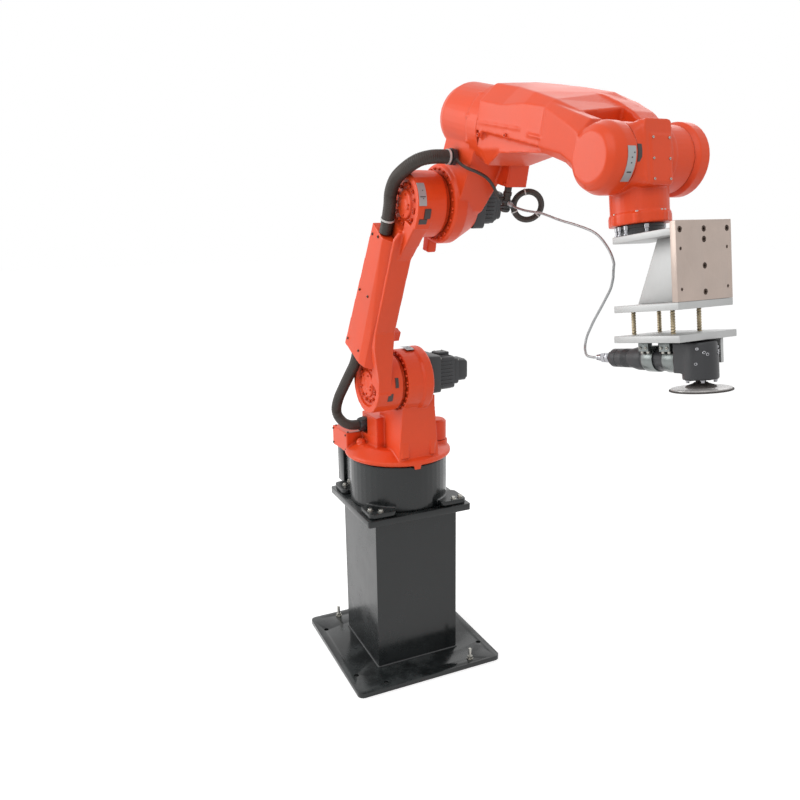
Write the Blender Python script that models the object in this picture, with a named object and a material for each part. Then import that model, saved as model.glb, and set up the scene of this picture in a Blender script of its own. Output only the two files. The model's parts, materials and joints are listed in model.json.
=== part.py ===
"""Industrial robot arm on a steel pedestal, holding an angle grinder on a bracket.

Metres, +Z up. The origin is the middle of the base plate's underside, on the floor. +X is the
pedestal's side that the arm reaches over, and +Y is the side that the shoulder motor stands on.
The arm is modelled in the pose of the photograph: each link is drawn in its own frame, which an
empty on the joint's axis carries.
"""
import math

import bmesh
import bpy
from mathutils import Vector

for old in list(bpy.data.objects):
    bpy.data.objects.remove(old, do_unlink=True)

# Clearances
GAP = 0.0003  # between solids that touch
RUN_GAP = 0.006  # between castings that turn past each other
OVER = 0.004  # how far a cutter runs past its target, and a welded shape into it

# Pose of the photograph, in degrees
TURN_REST = 3.4
LOWER_LEAN = 26.3
FOREARM_PITCH = 13.9
TOOL_PITCH = -8.0

# Joint places
SHOULDER_REACH = 0.150
SHOULDER_RISE = 0.326  # above the robot base
LOWER_LENGTH = 0.675
FOREARM_RISE = 0.252
WRIST_REACH = 0.698
FLANGE_DROP = 0.166

# Pedestal
PLATE_SIDE = 0.600
PLATE_THICK = 0.018
PLATE_CORNER = 0.022
HOLE_RADIUS = 0.0095
HOLE_INSET = 0.033
HOLE_PITCH = 0.360
POST_SIDE = 0.337
POST_WALL = 0.010
POST_TOP = 0.621
CAP_SIDE = 0.422
CAP_THICK = 0.025
CAP_CORNER = 0.010

# Robot base
BASE_RADIUS = 0.190
BASE_RISE = 0.176
FOOT_SIDE = 0.400
FOOT_THICK = 0.020
FOOT_LOBE = 0.110
FOOT_CORNER = 0.020
BOX_STAND = 0.028
BOX_DEPTH = 0.067
BOX_WIDTH = 0.300
BOX_DROP = 0.027
BOX_LIP = 0.010
PORT_RADIUS = 0.021
PORT_LENGTH = 0.035
PORT_SPREAD_SHARES = {"supply_connector": 0.57, "signal_connector": 0.13}
PORT_HEIGHT_SHARE = 0.60

# Turntable and shoulder, one casting
DISC_RADIUS = 0.206
DISC_THICK = 0.020
DISC_BEVEL = 0.006
CROWN_SLOPE = 0.056
CROWN_RISE = 0.027
SPIGOT_RADIUS = 0.120
TAIL_REAR = 0.207
TAIL_FRONT = 0.066
TAIL_SIDE = 0.187
TAIL_RISE = 0.062
LEDGE_SIDE = 0.120
LEDGE_FRONT = 0.045
BLOCK_REAR = 0.097
BLOCK_FRONT = 0.025
BLOCK_SIDE = 0.105
BLOCK_INNER = 0.020
BLOCK_RISE = 0.108
COLUMN_REAR = 0.020
COLUMN_FRONT = 0.182
COLUMN_RIGHT = 0.078
COLUMN_BULGE = 0.215
SHELF_RIGHT = 0.045
WAIST_SHARE = 0.68  # of the height from the crown to the shoulder axis
DRUM_RADIUS = 0.118
DRUM_LEFT = 0.085
DRUM_RIGHT = 0.017
DRUM_STEP = 0.006
DRUM_BAND = 0.042

# First motor's cover
COVER_RADIUS = 0.040
COVER_RISE = 0.080
COVER_EDGE = 0.008
PAD_RADIUS = 0.045
COVER_X = 0.060
COVER_Y = 0.138

# Shoulder motor
MOTOR_RAISE = 0.017
FLANGE_HALF = 0.068
FLANGE_LENGTH = 0.053
BODY_HALF = 0.062
BODY_LENGTH = 0.063
NECK_HALF = 0.049
NECK_LENGTH = 0.023
CAP_HALF = 0.040
CAP_LENGTH = 0.046
MOTOR_CORNER = 0.012

# Lower arm
ARM_STAND = 0.065  # from the drum's face to the web
ARM_WEB = 0.048
COVER_DEPTH = 0.040
COVER_REAR = 0.136
COVER_LIP = 0.012
COVER_FRONT = 0.040
COVER_TAPER_REAR = 0.046
COVER_TAPER_LIP = 0.024
ARM_FRONT = 0.037
RING_RADIUS = 0.104
HEAD_RADIUS = 0.098
WAIST_LOW = 0.120
WAIST_HIGH = 0.560
COVER_LOW = 0.088
COVER_TOP_DROP = 0.094
RECESS_RADIUS = 0.116
STOP_X = 0.005
STOP_WIDTH = 0.030
STOP_Z = 0.170
STOP_HEIGHT = 0.035
STOP_REACH = 0.050

# Elbow
ELBOW_FACE = 0.085
ELBOW_RADIUS = 0.118
ELBOW_EDGE = 0.006
ELBOW_BAND = 0.040
ELBOW_END = 0.020
ELBOW_SEAT = 0.082
MAST_REAR = 0.060
MAST_FRONT = 0.100
MAST_HALF = 0.070
MAST_FOOT = 0.060
MAST_FOOT_HALF = 0.040
MAST_TOP_REAR = 0.030
MAST_TOP_FRONT = 0.190
MAST_TOP_HALF = 0.085
BARREL_RADIUS = 0.098
BARREL_REAR = -0.028
BARREL_CAP = 0.030
BARREL_CAP_RADIUS = 0.088
COLLAR_RADIUS = 0.105
COLLAR_LENGTH = 0.055
ROLL_FACE = 0.203
ROLL_BOX_FRONT = 0.190
ROLL_BOX_REAR = 0.090
ROLL_BOX_Y = 0.030
ROLL_BOX_WIDTH = 0.070
ROLL_BOX_LOW = 0.088
ROLL_BOX_HEIGHT = 0.080
ELBOW_LUG_REAR = 0.060
ELBOW_LUG_FRONT = 0.025
ELBOW_LUG_DROP = 0.158
ELBOW_LUG_THICK = 0.030
ELBOW_POCKET = 0.002
ELBOW_FLANGE_HALF = 0.064
ELBOW_FLANGE_LENGTH = 0.040
ELBOW_MOTOR_HALF = 0.054
ELBOW_MOTOR_LENGTH = 0.045
ELBOW_CAP_HALF = 0.042
ELBOW_CAP_LENGTH = 0.030

# Forearm
FORE_HALF = 0.110
FORE_TOP = 0.108
FORE_FAR_TOP = 0.118
FORE_CHAMFER = 0.045
FORE_BOTTOM = 0.098
FORE_LENGTH = 0.378
FORE_LEDGE = 0.011
FORE_PANEL = 0.012
FORE_SPIGOT = 0.070
TINE_OUT = 0.139
TINE_IN = 0.0745
TINE_RADIUS = 0.078
TINE_FACE = 0.054
TINE_EDGE = 0.034
TINE_SHOULDER = 0.068
TINE_LENGTH = 0.215
TINE_BEND = 0.110
TINE_WRIST = 0.048

# Wrist
WRIST_RADIUS = 0.076
WRIST_HALF = 0.040
FRONT_REACH = 0.078
FRONT_LEFT = 0.055
FRONT_RIGHT = 0.024
FRONT_TOP = 0.067
FRONT_LOW = 0.070
FRONT_EDGE = 0.012
SIDE_RADIUS = 0.075
SIDE_LENGTH = 0.055
RIM_RADIUS = 0.082
RIM_WIDTH = 0.047
RIM_EDGE = 0.010
NECK_RADIUS = 0.064
NECK_COLLAR = 0.067
COLLAR_RISE = 0.024

# Tool bracket
TOOL_FLANGE_RADIUS = 0.052
TOOL_FLANGE_THICK = 0.022
BRACKET_REAR = 0.030
BRACKET_FRONT = 0.172
BRACKET_THICK = 0.015
TOP_HALF = 0.055
PLATE_HALF = 0.080
PLATE_PROUD = 0.010
MIDDLE_DROP = 0.152
GUSSET_HALF = 0.0075
GUSSET_TOP = 0.102
GUSSET_FOOT = 0.165
LOWER_DROP = 0.218
LOWER_EXTRA = 0.004
ROD_RADIUS = 0.0055
ROD_REAR = 0.008
ROD_FRONT = 0.119
ROD_HALF = 0.039

# Grinder
GRINDER_DROP = 0.042  # from the lower plate to the grinder's axis
GRINDER_REAR = 0.108
TAPER_FRONT = 0.015
HANDLE_RADIUS = 0.022
BODY_RADIUS = 0.027
CLAMP_RADIUS = 0.0295
CLAMP_PLACES = {"clamp_ring_1": 0.030, "clamp_ring_2": 0.090}
CLAMP_WIDTH = 0.032
HEAD_REAR = 0.109
HEAD_X = 0.152
HEAD_RADIUS_LOW = 0.0366
HEAD_SIDE = 0.034
HEAD_DROP = 0.083
SPINDLE_RADIUS = 0.010
SPINDLE_LENGTH = 0.008
CONE_RISE = 0.009
DISC_CONE = 0.030
DISC_DEPTH = 0.007
DISC_SIZE = 0.064
SIDE_PLATE_Y = 0.044
SIDE_PLATE_THICK = 0.008
SIDE_PLATE_REAR = 0.088
SIDE_PLATE_LENGTH = 0.080
SIDE_PLATE_HEIGHT = 0.052
INLET_RADIUS = 0.013
INLET_LENGTH = 0.049

# Hoses, conduits and cables
CONDUIT_RADIUS = 0.0195
UPPER_RADIUS = 0.020
GLAND_RADIUS = 0.030
GLAND_LENGTH = 0.014
GLAND_BEHIND = 0.062
ELBOW_GLAND_X = 0.074
ELBOW_GLAND_Z = 0.151
ELBOW_GLAND_RADIUS = 0.025
ELBOW_GLAND_OUT = 0.100
THIN_RADIUS = 0.0045
HOSE_RADIUS = 0.0034
SLEEVE_RADIUS = 0.013
SLEEVE_X = 0.165
SLEEVE_Y = 0.055
SLEEVE_LENGTH = 0.075
COUPLING_RADIUS = 0.007
COUPLING_LENGTH = 0.020
LOOP_RADIUS = 0.041
LOOP_TUBE = 0.0095
LOOP_TURN = 62.7
COUPLING_LEAN = 5.0
COUPLING_PLACE_SHARE = 0.62
LOOP_DROP_SHARE = 0.68


def paint(name, colour, rough, metal=0.0):
    """A plain material with the part's own colour."""
    made = bpy.data.materials.new(name)
    made.use_nodes = True
    shader = made.node_tree.nodes["Principled BSDF"]
    shader.inputs["Base Color"].default_value = (*colour, 1.0)
    shader.inputs["Roughness"].default_value = rough
    shader.inputs["Metallic"].default_value = metal
    return made


ORANGE = paint("orange paint", (0.85, 0.13, 0.03), 0.35)
BLACK = paint("black paint", (0.012, 0.012, 0.013), 0.22)
MOTOR = paint("motor black", (0.02, 0.02, 0.022), 0.45)
ALUMINIUM = paint("machined aluminium", (0.72, 0.72, 0.70), 0.38, 0.9)
STEEL = paint("bright steel", (0.55, 0.55, 0.55), 0.3, 1.0)
GOLD = paint("yellow zinc", (0.72, 0.55, 0.25), 0.35, 0.9)
RUBBER = paint("black rubber", (0.03, 0.03, 0.032), 0.7)
HOSE = paint("braided hose", (0.75, 0.76, 0.78), 0.5)
GRIT = paint("sanding grit", (0.05, 0.045, 0.045), 0.9)


def frame(name, parent=None, place=(0, 0, 0), turn_y=0.0, turn_z=0.0):
    """An empty on a joint's axis."""
    made = bpy.data.objects.new(name, None)
    bpy.context.collection.objects.link(made)
    made.parent = parent
    made.location = place
    made.rotation_euler = (0, math.radians(turn_y), math.radians(turn_z))
    return made


def solid(name, mesh_maker, material, parent=None):
    """One named object from a function that fills a bmesh."""
    shape = bmesh.new()
    mesh_maker(shape)
    bmesh.ops.recalc_face_normals(shape, faces=shape.faces)
    mesh = bpy.data.meshes.new(name)
    shape.to_mesh(mesh)
    shape.free()
    mesh.materials.append(material)
    made = bpy.data.objects.new(name, mesh)
    made.parent = parent
    bpy.context.collection.objects.link(made)
    return made


def skin(shape, rings):
    """Closed skin over rings of points that have the same count."""
    rows = [[shape.verts.new(point) for point in ring] for ring in rings]
    count = len(rows[0])
    for low, high in zip(rows, rows[1:]):
        for step in range(count):
            after = (step + 1) % count
            shape.faces.new((low[step], low[after], high[after], high[step]))
    shape.faces.new(rows[0][::-1])
    shape.faces.new(rows[-1])


def place(axis, across, along, value):
    """A point from two measures across an axis and one along it."""
    spots = {"X": (value, across, along), "Y": (across, value, along), "Z": (across, along, value)}
    return Vector(spots[axis])


def box(low, high):
    """Block between two corners."""
    corners = [(low[0], low[1]), (high[0], low[1]), (high[0], high[1]), (low[0], high[1])]
    return prism(corners, "Z", low[2], high[2])


def prism(outline, axis, low, high):
    """Straight solid with one outline."""
    def make(shape):
        skin(shape, [[place(axis, *point, value) for point in outline] for value in (low, high)])
    return make


def turned(profile, axis, centre=(0, 0), sides=32):
    """Solid of revolution through (radius, place along the axis) pairs."""
    def make(shape):
        rings = []
        for radius, value in profile:
            ring = []
            for step in range(sides):
                angle = 2 * math.pi * (step + 0.5) / sides
                ring.append(place(axis, centre[0] + radius * math.cos(angle),
                                  centre[1] + radius * math.sin(angle), value))
            rings.append(ring)
        skin(shape, rings)
    return make


def lofted(sections):
    """Solid through sections, each a list of points."""
    def make(shape):
        skin(shape, sections)
    return make


def slab(axis, rects):
    """Solid through rectangles, each given as low and high across, low and high along, and value."""
    rings = []
    for left, right, low, high, value in rects:
        corners = [(left, low), (right, low), (right, high), (left, high)]
        rings.append([place(axis, *corner, value) for corner in corners])
    return lofted(rings)


def ring_tube(radius, thick, sides=28, across=10):
    """Closed round loop in the XZ plane, resting on the X axis beside the origin."""
    def make(shape):
        rows = []
        for turn in range(sides):
            angle = 2 * math.pi * turn / sides
            row = []
            for step in range(across):
                tilt = 2 * math.pi * step / across
                reach = radius + thick * math.cos(tilt)
                row.append(shape.verts.new((radius + thick + reach * math.cos(angle),
                                            thick * math.sin(tilt), reach * math.sin(angle))))
            rows.append(row)
        for turn in range(sides):
            row, after = rows[turn], rows[(turn + 1) % sides]
            for step in range(across):
                follow = (step + 1) % across
                shape.faces.new((row[step], row[follow], after[follow], after[step]))
    return make


def rounded(half_across, half_along, corner, steps=4, middle=(0, 0)):
    """Outline of a rectangle with round corners."""
    points = []
    for quarter, (side, end) in enumerate(((1, 1), (-1, 1), (-1, -1), (1, -1))):
        for step in range(steps + 1):
            angle = math.pi / 2 * (quarter + step / steps)
            points.append((middle[0] + side * (half_across - corner) + corner * math.cos(angle),
                           middle[1] + end * (half_along - corner) + corner * math.sin(angle)))
    return points


def stadium(length, low_radius, high_radius, steps=12):
    """Outline of a link with a round end on each joint, length apart, in X and Z."""
    tilt = math.asin((low_radius - high_radius) / length)
    points = []
    for step in range(steps + 1):
        angle = tilt + (math.pi - 2 * tilt) * step / steps
        points.append((high_radius * math.cos(angle), length + high_radius * math.sin(angle)))
    for step in range(steps + 1):
        angle = math.pi - tilt + (math.pi + 2 * tilt) * step / steps
        points.append((low_radius * math.cos(angle), low_radius * math.sin(angle)))
    return points


def arc(centre, radius, start, end, steps=10):
    """Points on an arc, angles in radians."""
    spread = [start + (end - start) * step / steps for step in range(steps + 1)]
    return [(centre[0] + radius * math.cos(angle), centre[1] + radius * math.sin(angle))
            for angle in spread]


def shaped(target, tool, operation):
    """Join or cut a target with a tool, which only guides it."""
    change = target.modifiers.new(tool.name, "BOOLEAN")
    change.operation = operation
    change.solver = "EXACT"
    change.object = tool
    tool.hide_render = True
    tool.display_type = "WIRE"


def join(target, mesh_maker):
    """Weld one more shape onto a target."""
    tool = solid(target.name + "_add", mesh_maker, target.data.materials[0], target.parent)
    shaped(target, tool, "UNION")


def cut(target, mesh_maker):
    """Cut a shape out of a target."""
    tool = solid(target.name + "_cut", mesh_maker, target.data.materials[0], target.parent)
    shaped(target, tool, "DIFFERENCE")


# Pedestal

plate_half = PLATE_SIDE / 2
plate = solid("base_plate", prism(rounded(plate_half, plate_half, PLATE_CORNER), "Z", 0, PLATE_THICK),
              BLACK)
hole_line = plate_half - HOLE_INSET
for side in (-1, 1):
    for end in (-1, 1):
        for spot in ((side * HOLE_PITCH / 2, end * hole_line), (end * hole_line, side * HOLE_PITCH / 2)):
            cut(plate, turned([(HOLE_RADIUS, -OVER), (HOLE_RADIUS, PLATE_THICK + OVER)], "Z", spot, 16))

post_half = POST_SIDE / 2
post_inner = post_half - POST_WALL
post_low = PLATE_THICK + GAP
for side, name in ((1, "front"), (-1, "rear")):
    near, far = sorted((side * post_inner, side * post_half))
    solid(f"pedestal_{name}_wall", box((near, -post_half, post_low), (far, post_half, POST_TOP)), BLACK)
for side, name in ((-1, "left"), (1, "right")):
    near, far = sorted((side * post_inner, side * post_half))
    reach = post_inner - GAP
    solid(f"pedestal_{name}_wall", box((-reach, near, post_low), (reach, far, POST_TOP)), BLACK)

cap_half = CAP_SIDE / 2
cap_top = POST_TOP + CAP_THICK
cap_outline = rounded(cap_half, cap_half, CAP_CORNER)
solid("pedestal_top_plate", prism(cap_outline, "Z", POST_TOP + GAP, cap_top), BLACK)

# Robot base

foot_low = cap_top + GAP
foot_top = cap_top + FOOT_THICK
base_top = cap_top + BASE_RISE
lobe_middle = (FOOT_SIDE - FOOT_LOBE) / 2
lobe_half = FOOT_LOBE / 2
base = solid("robot_base", turned([(BASE_RADIUS, foot_low), (BASE_RADIUS, base_top)], "Z", sides=48),
             BLACK)
for across in (-lobe_middle, lobe_middle):
    for along in (-lobe_middle, lobe_middle):
        lobe = rounded(lobe_half, lobe_half, FOOT_CORNER, 3, (across, along))
        join(base, prism(lobe, "Z", foot_low, foot_top))
box_front = -(BASE_RADIUS + BOX_STAND)
box_rear = box_front - BOX_DEPTH
box_top = base_top - BOX_DROP
box_half = BOX_WIDTH / 2
join(base, box((box_front, BOX_LIP - box_half, foot_low), (0, box_half - BOX_LIP, box_top - BOX_LIP)))
solid("connector_box", box((box_rear, -box_half, foot_low), (box_front - GAP, box_half, box_top)), BLACK)
port = [(PORT_RADIUS, box_rear - PORT_LENGTH), (PORT_RADIUS, box_rear - GAP)]
port_height = foot_low + (box_top - foot_low) * PORT_HEIGHT_SHARE
for name, share in PORT_SPREAD_SHARES.items():
    solid(name, turned(port, "X", (box_half * share, port_height), 20), MOTOR)

# Turntable: disc, tail box, side block and shoulder in one casting

turn = frame("turn_axis", turn_z=TURN_REST)
disc_low = base_top + RUN_GAP
disc_top = disc_low + DISC_THICK
crown = disc_top + CROWN_RISE
crown_radius = DISC_RADIUS - CROWN_SLOPE
shoulder_height = base_top + SHOULDER_RISE
drum_centre = (SHOULDER_REACH, shoulder_height)

disc = solid("turntable", turned([(SPIGOT_RADIUS, base_top + GAP), (SPIGOT_RADIUS, disc_low),
                                  (DISC_RADIUS - DISC_BEVEL, disc_low), (DISC_RADIUS, disc_low + DISC_BEVEL),
                                  (DISC_RADIUS, disc_top - DISC_BEVEL), (DISC_RADIUS - DISC_BEVEL, disc_top),
                                  (crown_radius, crown)], "Z", sides=48), ORANGE, turn)
tail_top = disc_top + TAIL_RISE
join(disc, box((-TAIL_REAR, -TAIL_SIDE, disc_low + OVER), (-TAIL_FRONT, -BLOCK_INNER, tail_top)))
join(disc, box((-TAIL_FRONT - OVER, -LEDGE_SIDE, disc_low + OVER),
               (LEDGE_FRONT, -BLOCK_INNER - OVER, tail_top)))
block_top = crown + BLOCK_RISE
join(disc, box((-BLOCK_REAR, -BLOCK_SIDE, disc_top), (BLOCK_FRONT, -BLOCK_INNER + OVER, block_top)))
drum_left = -DRUM_LEFT
waist_height = crown + (shoulder_height - crown) * WAIST_SHARE
drum_rear = SHOULDER_REACH - DRUM_RADIUS + OVER
drum_front = SHOULDER_REACH + DRUM_RADIUS - OVER
shelf_height = shoulder_height + MOTOR_RAISE - FLANGE_HALF - OVER
join(disc, slab("Z", [(COLUMN_REAR, COLUMN_FRONT, drum_left, COLUMN_RIGHT, disc_top),
                      (COLUMN_REAR, COLUMN_FRONT, drum_left, COLUMN_RIGHT, crown),
                      (COLUMN_REAR, COLUMN_BULGE, drum_left, SHELF_RIGHT, waist_height),
                      (drum_rear, COLUMN_BULGE, drum_left, SHELF_RIGHT, shelf_height)]))
join(disc, slab("Z", [(COLUMN_REAR + OVER, COLUMN_BULGE - OVER, drum_left, DRUM_RIGHT, waist_height - OVER),
                      (drum_rear, drum_front, drum_left, DRUM_RIGHT, shoulder_height)]))
join(disc, turned([(DRUM_RADIUS - DRUM_STEP, drum_left), (DRUM_RADIUS - DRUM_STEP, DRUM_RIGHT - DRUM_BAND),
                   (DRUM_RADIUS, DRUM_RIGHT - DRUM_BAND + DRUM_STEP), (DRUM_RADIUS, DRUM_RIGHT - DRUM_STEP),
                   (DRUM_RADIUS - DRUM_STEP, DRUM_RIGHT)], "Y", drum_centre, 40))
join(disc, turned([(PAD_RADIUS, disc_top - DISC_BEVEL), (PAD_RADIUS, crown)], "Z", (COVER_X, COVER_Y), 24))
cover_top = crown + COVER_RISE
cover_profile = [(COVER_RADIUS, crown + GAP), (COVER_RADIUS, cover_top - COVER_EDGE),
                 (COVER_RADIUS - COVER_EDGE, cover_top)]
solid("turn_motor_cover", turned(cover_profile, "Z", (COVER_X, COVER_Y), 24), ORANGE, turn)

# Shoulder motor

motor_middle = (SHOULDER_REACH, shoulder_height + MOTOR_RAISE)


def motor_block(half, start, end, middle=(0, 0)):
    """Square motor housing along Y."""
    return prism(rounded(half, half, MOTOR_CORNER, 3, middle), "Y", start, end)


motor_start = DRUM_RIGHT + GAP
body_end = motor_start + FLANGE_LENGTH + BODY_LENGTH
shoulder_motor = solid("shoulder_motor", motor_block(FLANGE_HALF, motor_start, motor_start + FLANGE_LENGTH,
                                                     motor_middle), MOTOR, turn)
join(shoulder_motor, motor_block(BODY_HALF, motor_start + OVER, body_end, motor_middle))
motor_cap = solid("shoulder_motor_cap", motor_block(NECK_HALF, body_end + GAP, body_end + NECK_LENGTH,
                                                    motor_middle), MOTOR, turn)
join(motor_cap, motor_block(CAP_HALF, body_end + OVER, body_end + NECK_LENGTH + CAP_LENGTH, motor_middle))

# Lower arm

lower = frame("lower_arm_axis", turn, (SHOULDER_REACH, 0, shoulder_height), LOWER_LEAN)
hub_face = drum_left - GAP
arm_inner = drum_left - ARM_STAND
arm_face = arm_inner - ARM_WEB
arm_outer = arm_face - COVER_DEPTH
arm = solid("lower_arm", prism(stadium(LOWER_LENGTH, RING_RADIUS, HEAD_RADIUS), "Y", arm_face, arm_inner),
            ORANGE, lower)
cut(arm, box((ARM_FRONT, arm_face - OVER, WAIST_LOW), (RING_RADIUS + OVER, arm_inner + OVER, WAIST_HIGH)))
for height, radius in ((0, RING_RADIUS), (LOWER_LENGTH, HEAD_RADIUS)):
    join(arm, turned([(radius, hub_face), (radius, arm_inner - OVER)], "Y", (0, height), 40))
stop_right = -STOP_X
solid("stop_lug", box((stop_right - STOP_WIDTH, arm_inner + GAP, STOP_Z),
                      (stop_right, arm_inner + STOP_REACH, STOP_Z + STOP_HEIGHT)), ORANGE, lower)

cover_back = arm_face - GAP
cover_high = LOWER_LENGTH - COVER_TOP_DROP


def cover_section(height, rear, lip, front):
    """Four-sided section of the conduit cover, which narrows upward."""
    return [Vector((rear, cover_back, height)), Vector((rear, arm_outer, height)),
            Vector((lip, arm_outer, height)), Vector((front, cover_back, height))]


cover_foot = cover_section(COVER_LOW, -COVER_REAR, COVER_LIP, COVER_FRONT)
cover_head = cover_section(cover_high, COVER_TAPER_REAR - COVER_REAR, COVER_LIP - COVER_TAPER_LIP, ARM_FRONT)
cover = solid("lower_arm_cover", lofted([cover_foot, cover_head]), ORANGE, lower)
lip_angle = math.asin((COVER_TAPER_LIP - COVER_LIP) / RECESS_RADIUS)
recess = [(-RECESS_RADIUS - OVER, cover_high + OVER), (-RECESS_RADIUS - OVER, cover_high - OVER)]
recess += arc((0, LOWER_LENGTH), RECESS_RADIUS, 1.5 * math.pi - lip_angle, 1.5 * math.pi + 2 * lip_angle)
recess += arc((0, LOWER_LENGTH), RECESS_RADIUS, 1.5 * math.pi + 3 * lip_angle, 1.5 * math.pi + 6 * lip_angle,
              3)
recess += [(RECESS_RADIUS, cover_high + OVER)]
cut(cover, prism(recess, "Y", arm_outer - OVER, cover_back + OVER))

# Elbow

elbow = frame("elbow_axis", lower, (0, 0, LOWER_LENGTH), FOREARM_PITCH - LOWER_LEAN)
elbow_face = -ELBOW_FACE
housing = solid("elbow_housing", turned([(ELBOW_RADIUS - ELBOW_EDGE, elbow_face),
                                         (ELBOW_RADIUS, elbow_face + ELBOW_EDGE),
                                         (ELBOW_RADIUS, elbow_face + ELBOW_BAND),
                                         (ELBOW_SEAT, ELBOW_END)], "Y", sides=40), ORANGE, elbow)
join(housing, slab("Z", [(-MAST_FOOT_HALF, MAST_FOOT_HALF, -MAST_FOOT_HALF, 0, -MAST_FOOT),
                         (-MAST_REAR, MAST_FRONT, -MAST_HALF, ELBOW_END, 0),
                         (MAST_TOP_REAR, MAST_TOP_FRONT, -MAST_TOP_HALF, MAST_TOP_HALF, FOREARM_RISE)]))
barrel_end = ROLL_FACE - RUN_GAP
seam = barrel_end - COLLAR_LENGTH
barrel = [(BARREL_CAP_RADIUS, BARREL_REAR), (BARREL_RADIUS, BARREL_REAR + BARREL_CAP),
          (BARREL_RADIUS, seam), (COLLAR_RADIUS, seam), (COLLAR_RADIUS, barrel_end)]
join(housing, turned(barrel, "X", (0, FOREARM_RISE), 40))
roll_box_top = ROLL_BOX_LOW + ROLL_BOX_HEIGHT
join(housing, box((ROLL_BOX_REAR, ROLL_BOX_Y, ROLL_BOX_LOW),
                  (ROLL_BOX_FRONT, ROLL_BOX_Y + ROLL_BOX_WIDTH, roll_box_top)))
lug_front = elbow_face + ELBOW_BAND - OVER
join(housing, box((-ELBOW_LUG_REAR, lug_front - ELBOW_LUG_THICK, -ELBOW_LUG_DROP),
                  (-ELBOW_LUG_FRONT, lug_front, -ELBOW_SEAT)))
cut(housing, motor_block(ELBOW_FLANGE_HALF + ELBOW_POCKET, ELBOW_END, MAST_TOP_HALF + OVER))
elbow_flange_end = ELBOW_END + ELBOW_FLANGE_LENGTH
elbow_motor_end = elbow_flange_end + ELBOW_MOTOR_LENGTH
elbow_motor = solid("elbow_motor", motor_block(ELBOW_FLANGE_HALF, ELBOW_END + GAP, elbow_flange_end), MOTOR,
                    elbow)
join(elbow_motor, motor_block(ELBOW_MOTOR_HALF, ELBOW_END + OVER, elbow_motor_end))
elbow_cap_end = elbow_motor_end + ELBOW_CAP_LENGTH
solid("elbow_motor_cap", motor_block(ELBOW_CAP_HALF, elbow_motor_end + GAP, elbow_cap_end), MOTOR, elbow)

# Forearm

roll = frame("roll_axis", elbow, (0, 0, FOREARM_RISE))
tine_in = -TINE_IN


def fore_section(x, half, near_top, far_top, bottom, chamfer, low_chamfer):
    """Forearm section at one place along the roll axis."""
    under = half - FORE_PANEL
    return [Vector((x, -half, -FORE_LEDGE)), Vector((x, -half, near_top - chamfer)),
            Vector((x, -half + chamfer, near_top)), Vector((x, half - chamfer, far_top)),
            Vector((x, half, far_top - chamfer)), Vector((x, half, low_chamfer - bottom)),
            Vector((x, half - low_chamfer, -bottom)), Vector((x, low_chamfer - half, -bottom)),
            Vector((x, -under, low_chamfer - bottom)), Vector((x, -under, -FORE_LEDGE))]


# Each row: share of the length, then of the width, near top, far top, bottom, chamfer and low chamfer
FORE_SHARES = [(0.00, 1.00, 1.00, 1.00, 1.00, 1.00, 1.00), (0.06, 1.00, 1.00, 1.01, 1.00, 1.00, 0.90),
               (0.28, 1.00, 1.00, 1.04, 0.55, 1.00, 0.25), (0.52, 1.00, 0.97, 1.05, 0.38, 0.62, 0.20),
               (0.76, 0.97, 0.90, 1.04, 0.25, 0.40, 0.16), (1.00, 0.92, 0.76, 0.86, 0.27, 0.36, 0.16)]
fore_rings = [fore_section(ROLL_FACE + FORE_LENGTH * along, FORE_HALF * wide, FORE_TOP * near,
                           FORE_FAR_TOP * far, FORE_BOTTOM * low, FORE_CHAMFER * edge,
                           FORE_CHAMFER * low_edge)
              for along, wide, near, far, low, edge, low_edge in FORE_SHARES]
forearm = solid("forearm", lofted(fore_rings), ORANGE, roll)


def tine_section(x, out, low, top, edge):
    """Fork tine section at one place along the roll axis, its outer edges chamfered."""
    return [Vector((x, -out, low + edge)), Vector((x, -out, top - edge)), Vector((x, edge - out, top)),
            Vector((x, tine_in, top)), Vector((x, tine_in, low)), Vector((x, edge - out, low))]


# Each row: outer face, bottom, top and chamfer as shares of the round end's sizes
TINE_SHARES = [(0.79, -0.30, 1.16, 0.40), (0.92, -0.38, 1.02, 0.65), (1.00, -0.66, 0.94, 0.90)]
tine_places = [WRIST_REACH - TINE_LENGTH, WRIST_REACH - TINE_BEND, WRIST_REACH - TINE_WRIST]
tine_rings = [tine_section(spot, TINE_OUT * out, TINE_RADIUS * low, TINE_RADIUS * top, TINE_EDGE * edge)
              for spot, (out, low, top, edge) in zip(tine_places, TINE_SHARES)]
join(forearm, lofted(tine_rings))
tine_end = [(TINE_FACE, -TINE_OUT), (TINE_SHOULDER, TINE_EDGE / 3 - TINE_OUT),
            (TINE_RADIUS, TINE_EDGE - TINE_OUT), (TINE_RADIUS, tine_in)]
join(forearm, turned(tine_end, "Y", (WRIST_REACH, 0), 40))
join(forearm, turned([(FORE_SPIGOT, barrel_end + GAP), (FORE_SPIGOT, ROLL_FACE + OVER)], "X", (0, 0), 32))

# Wrist

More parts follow.
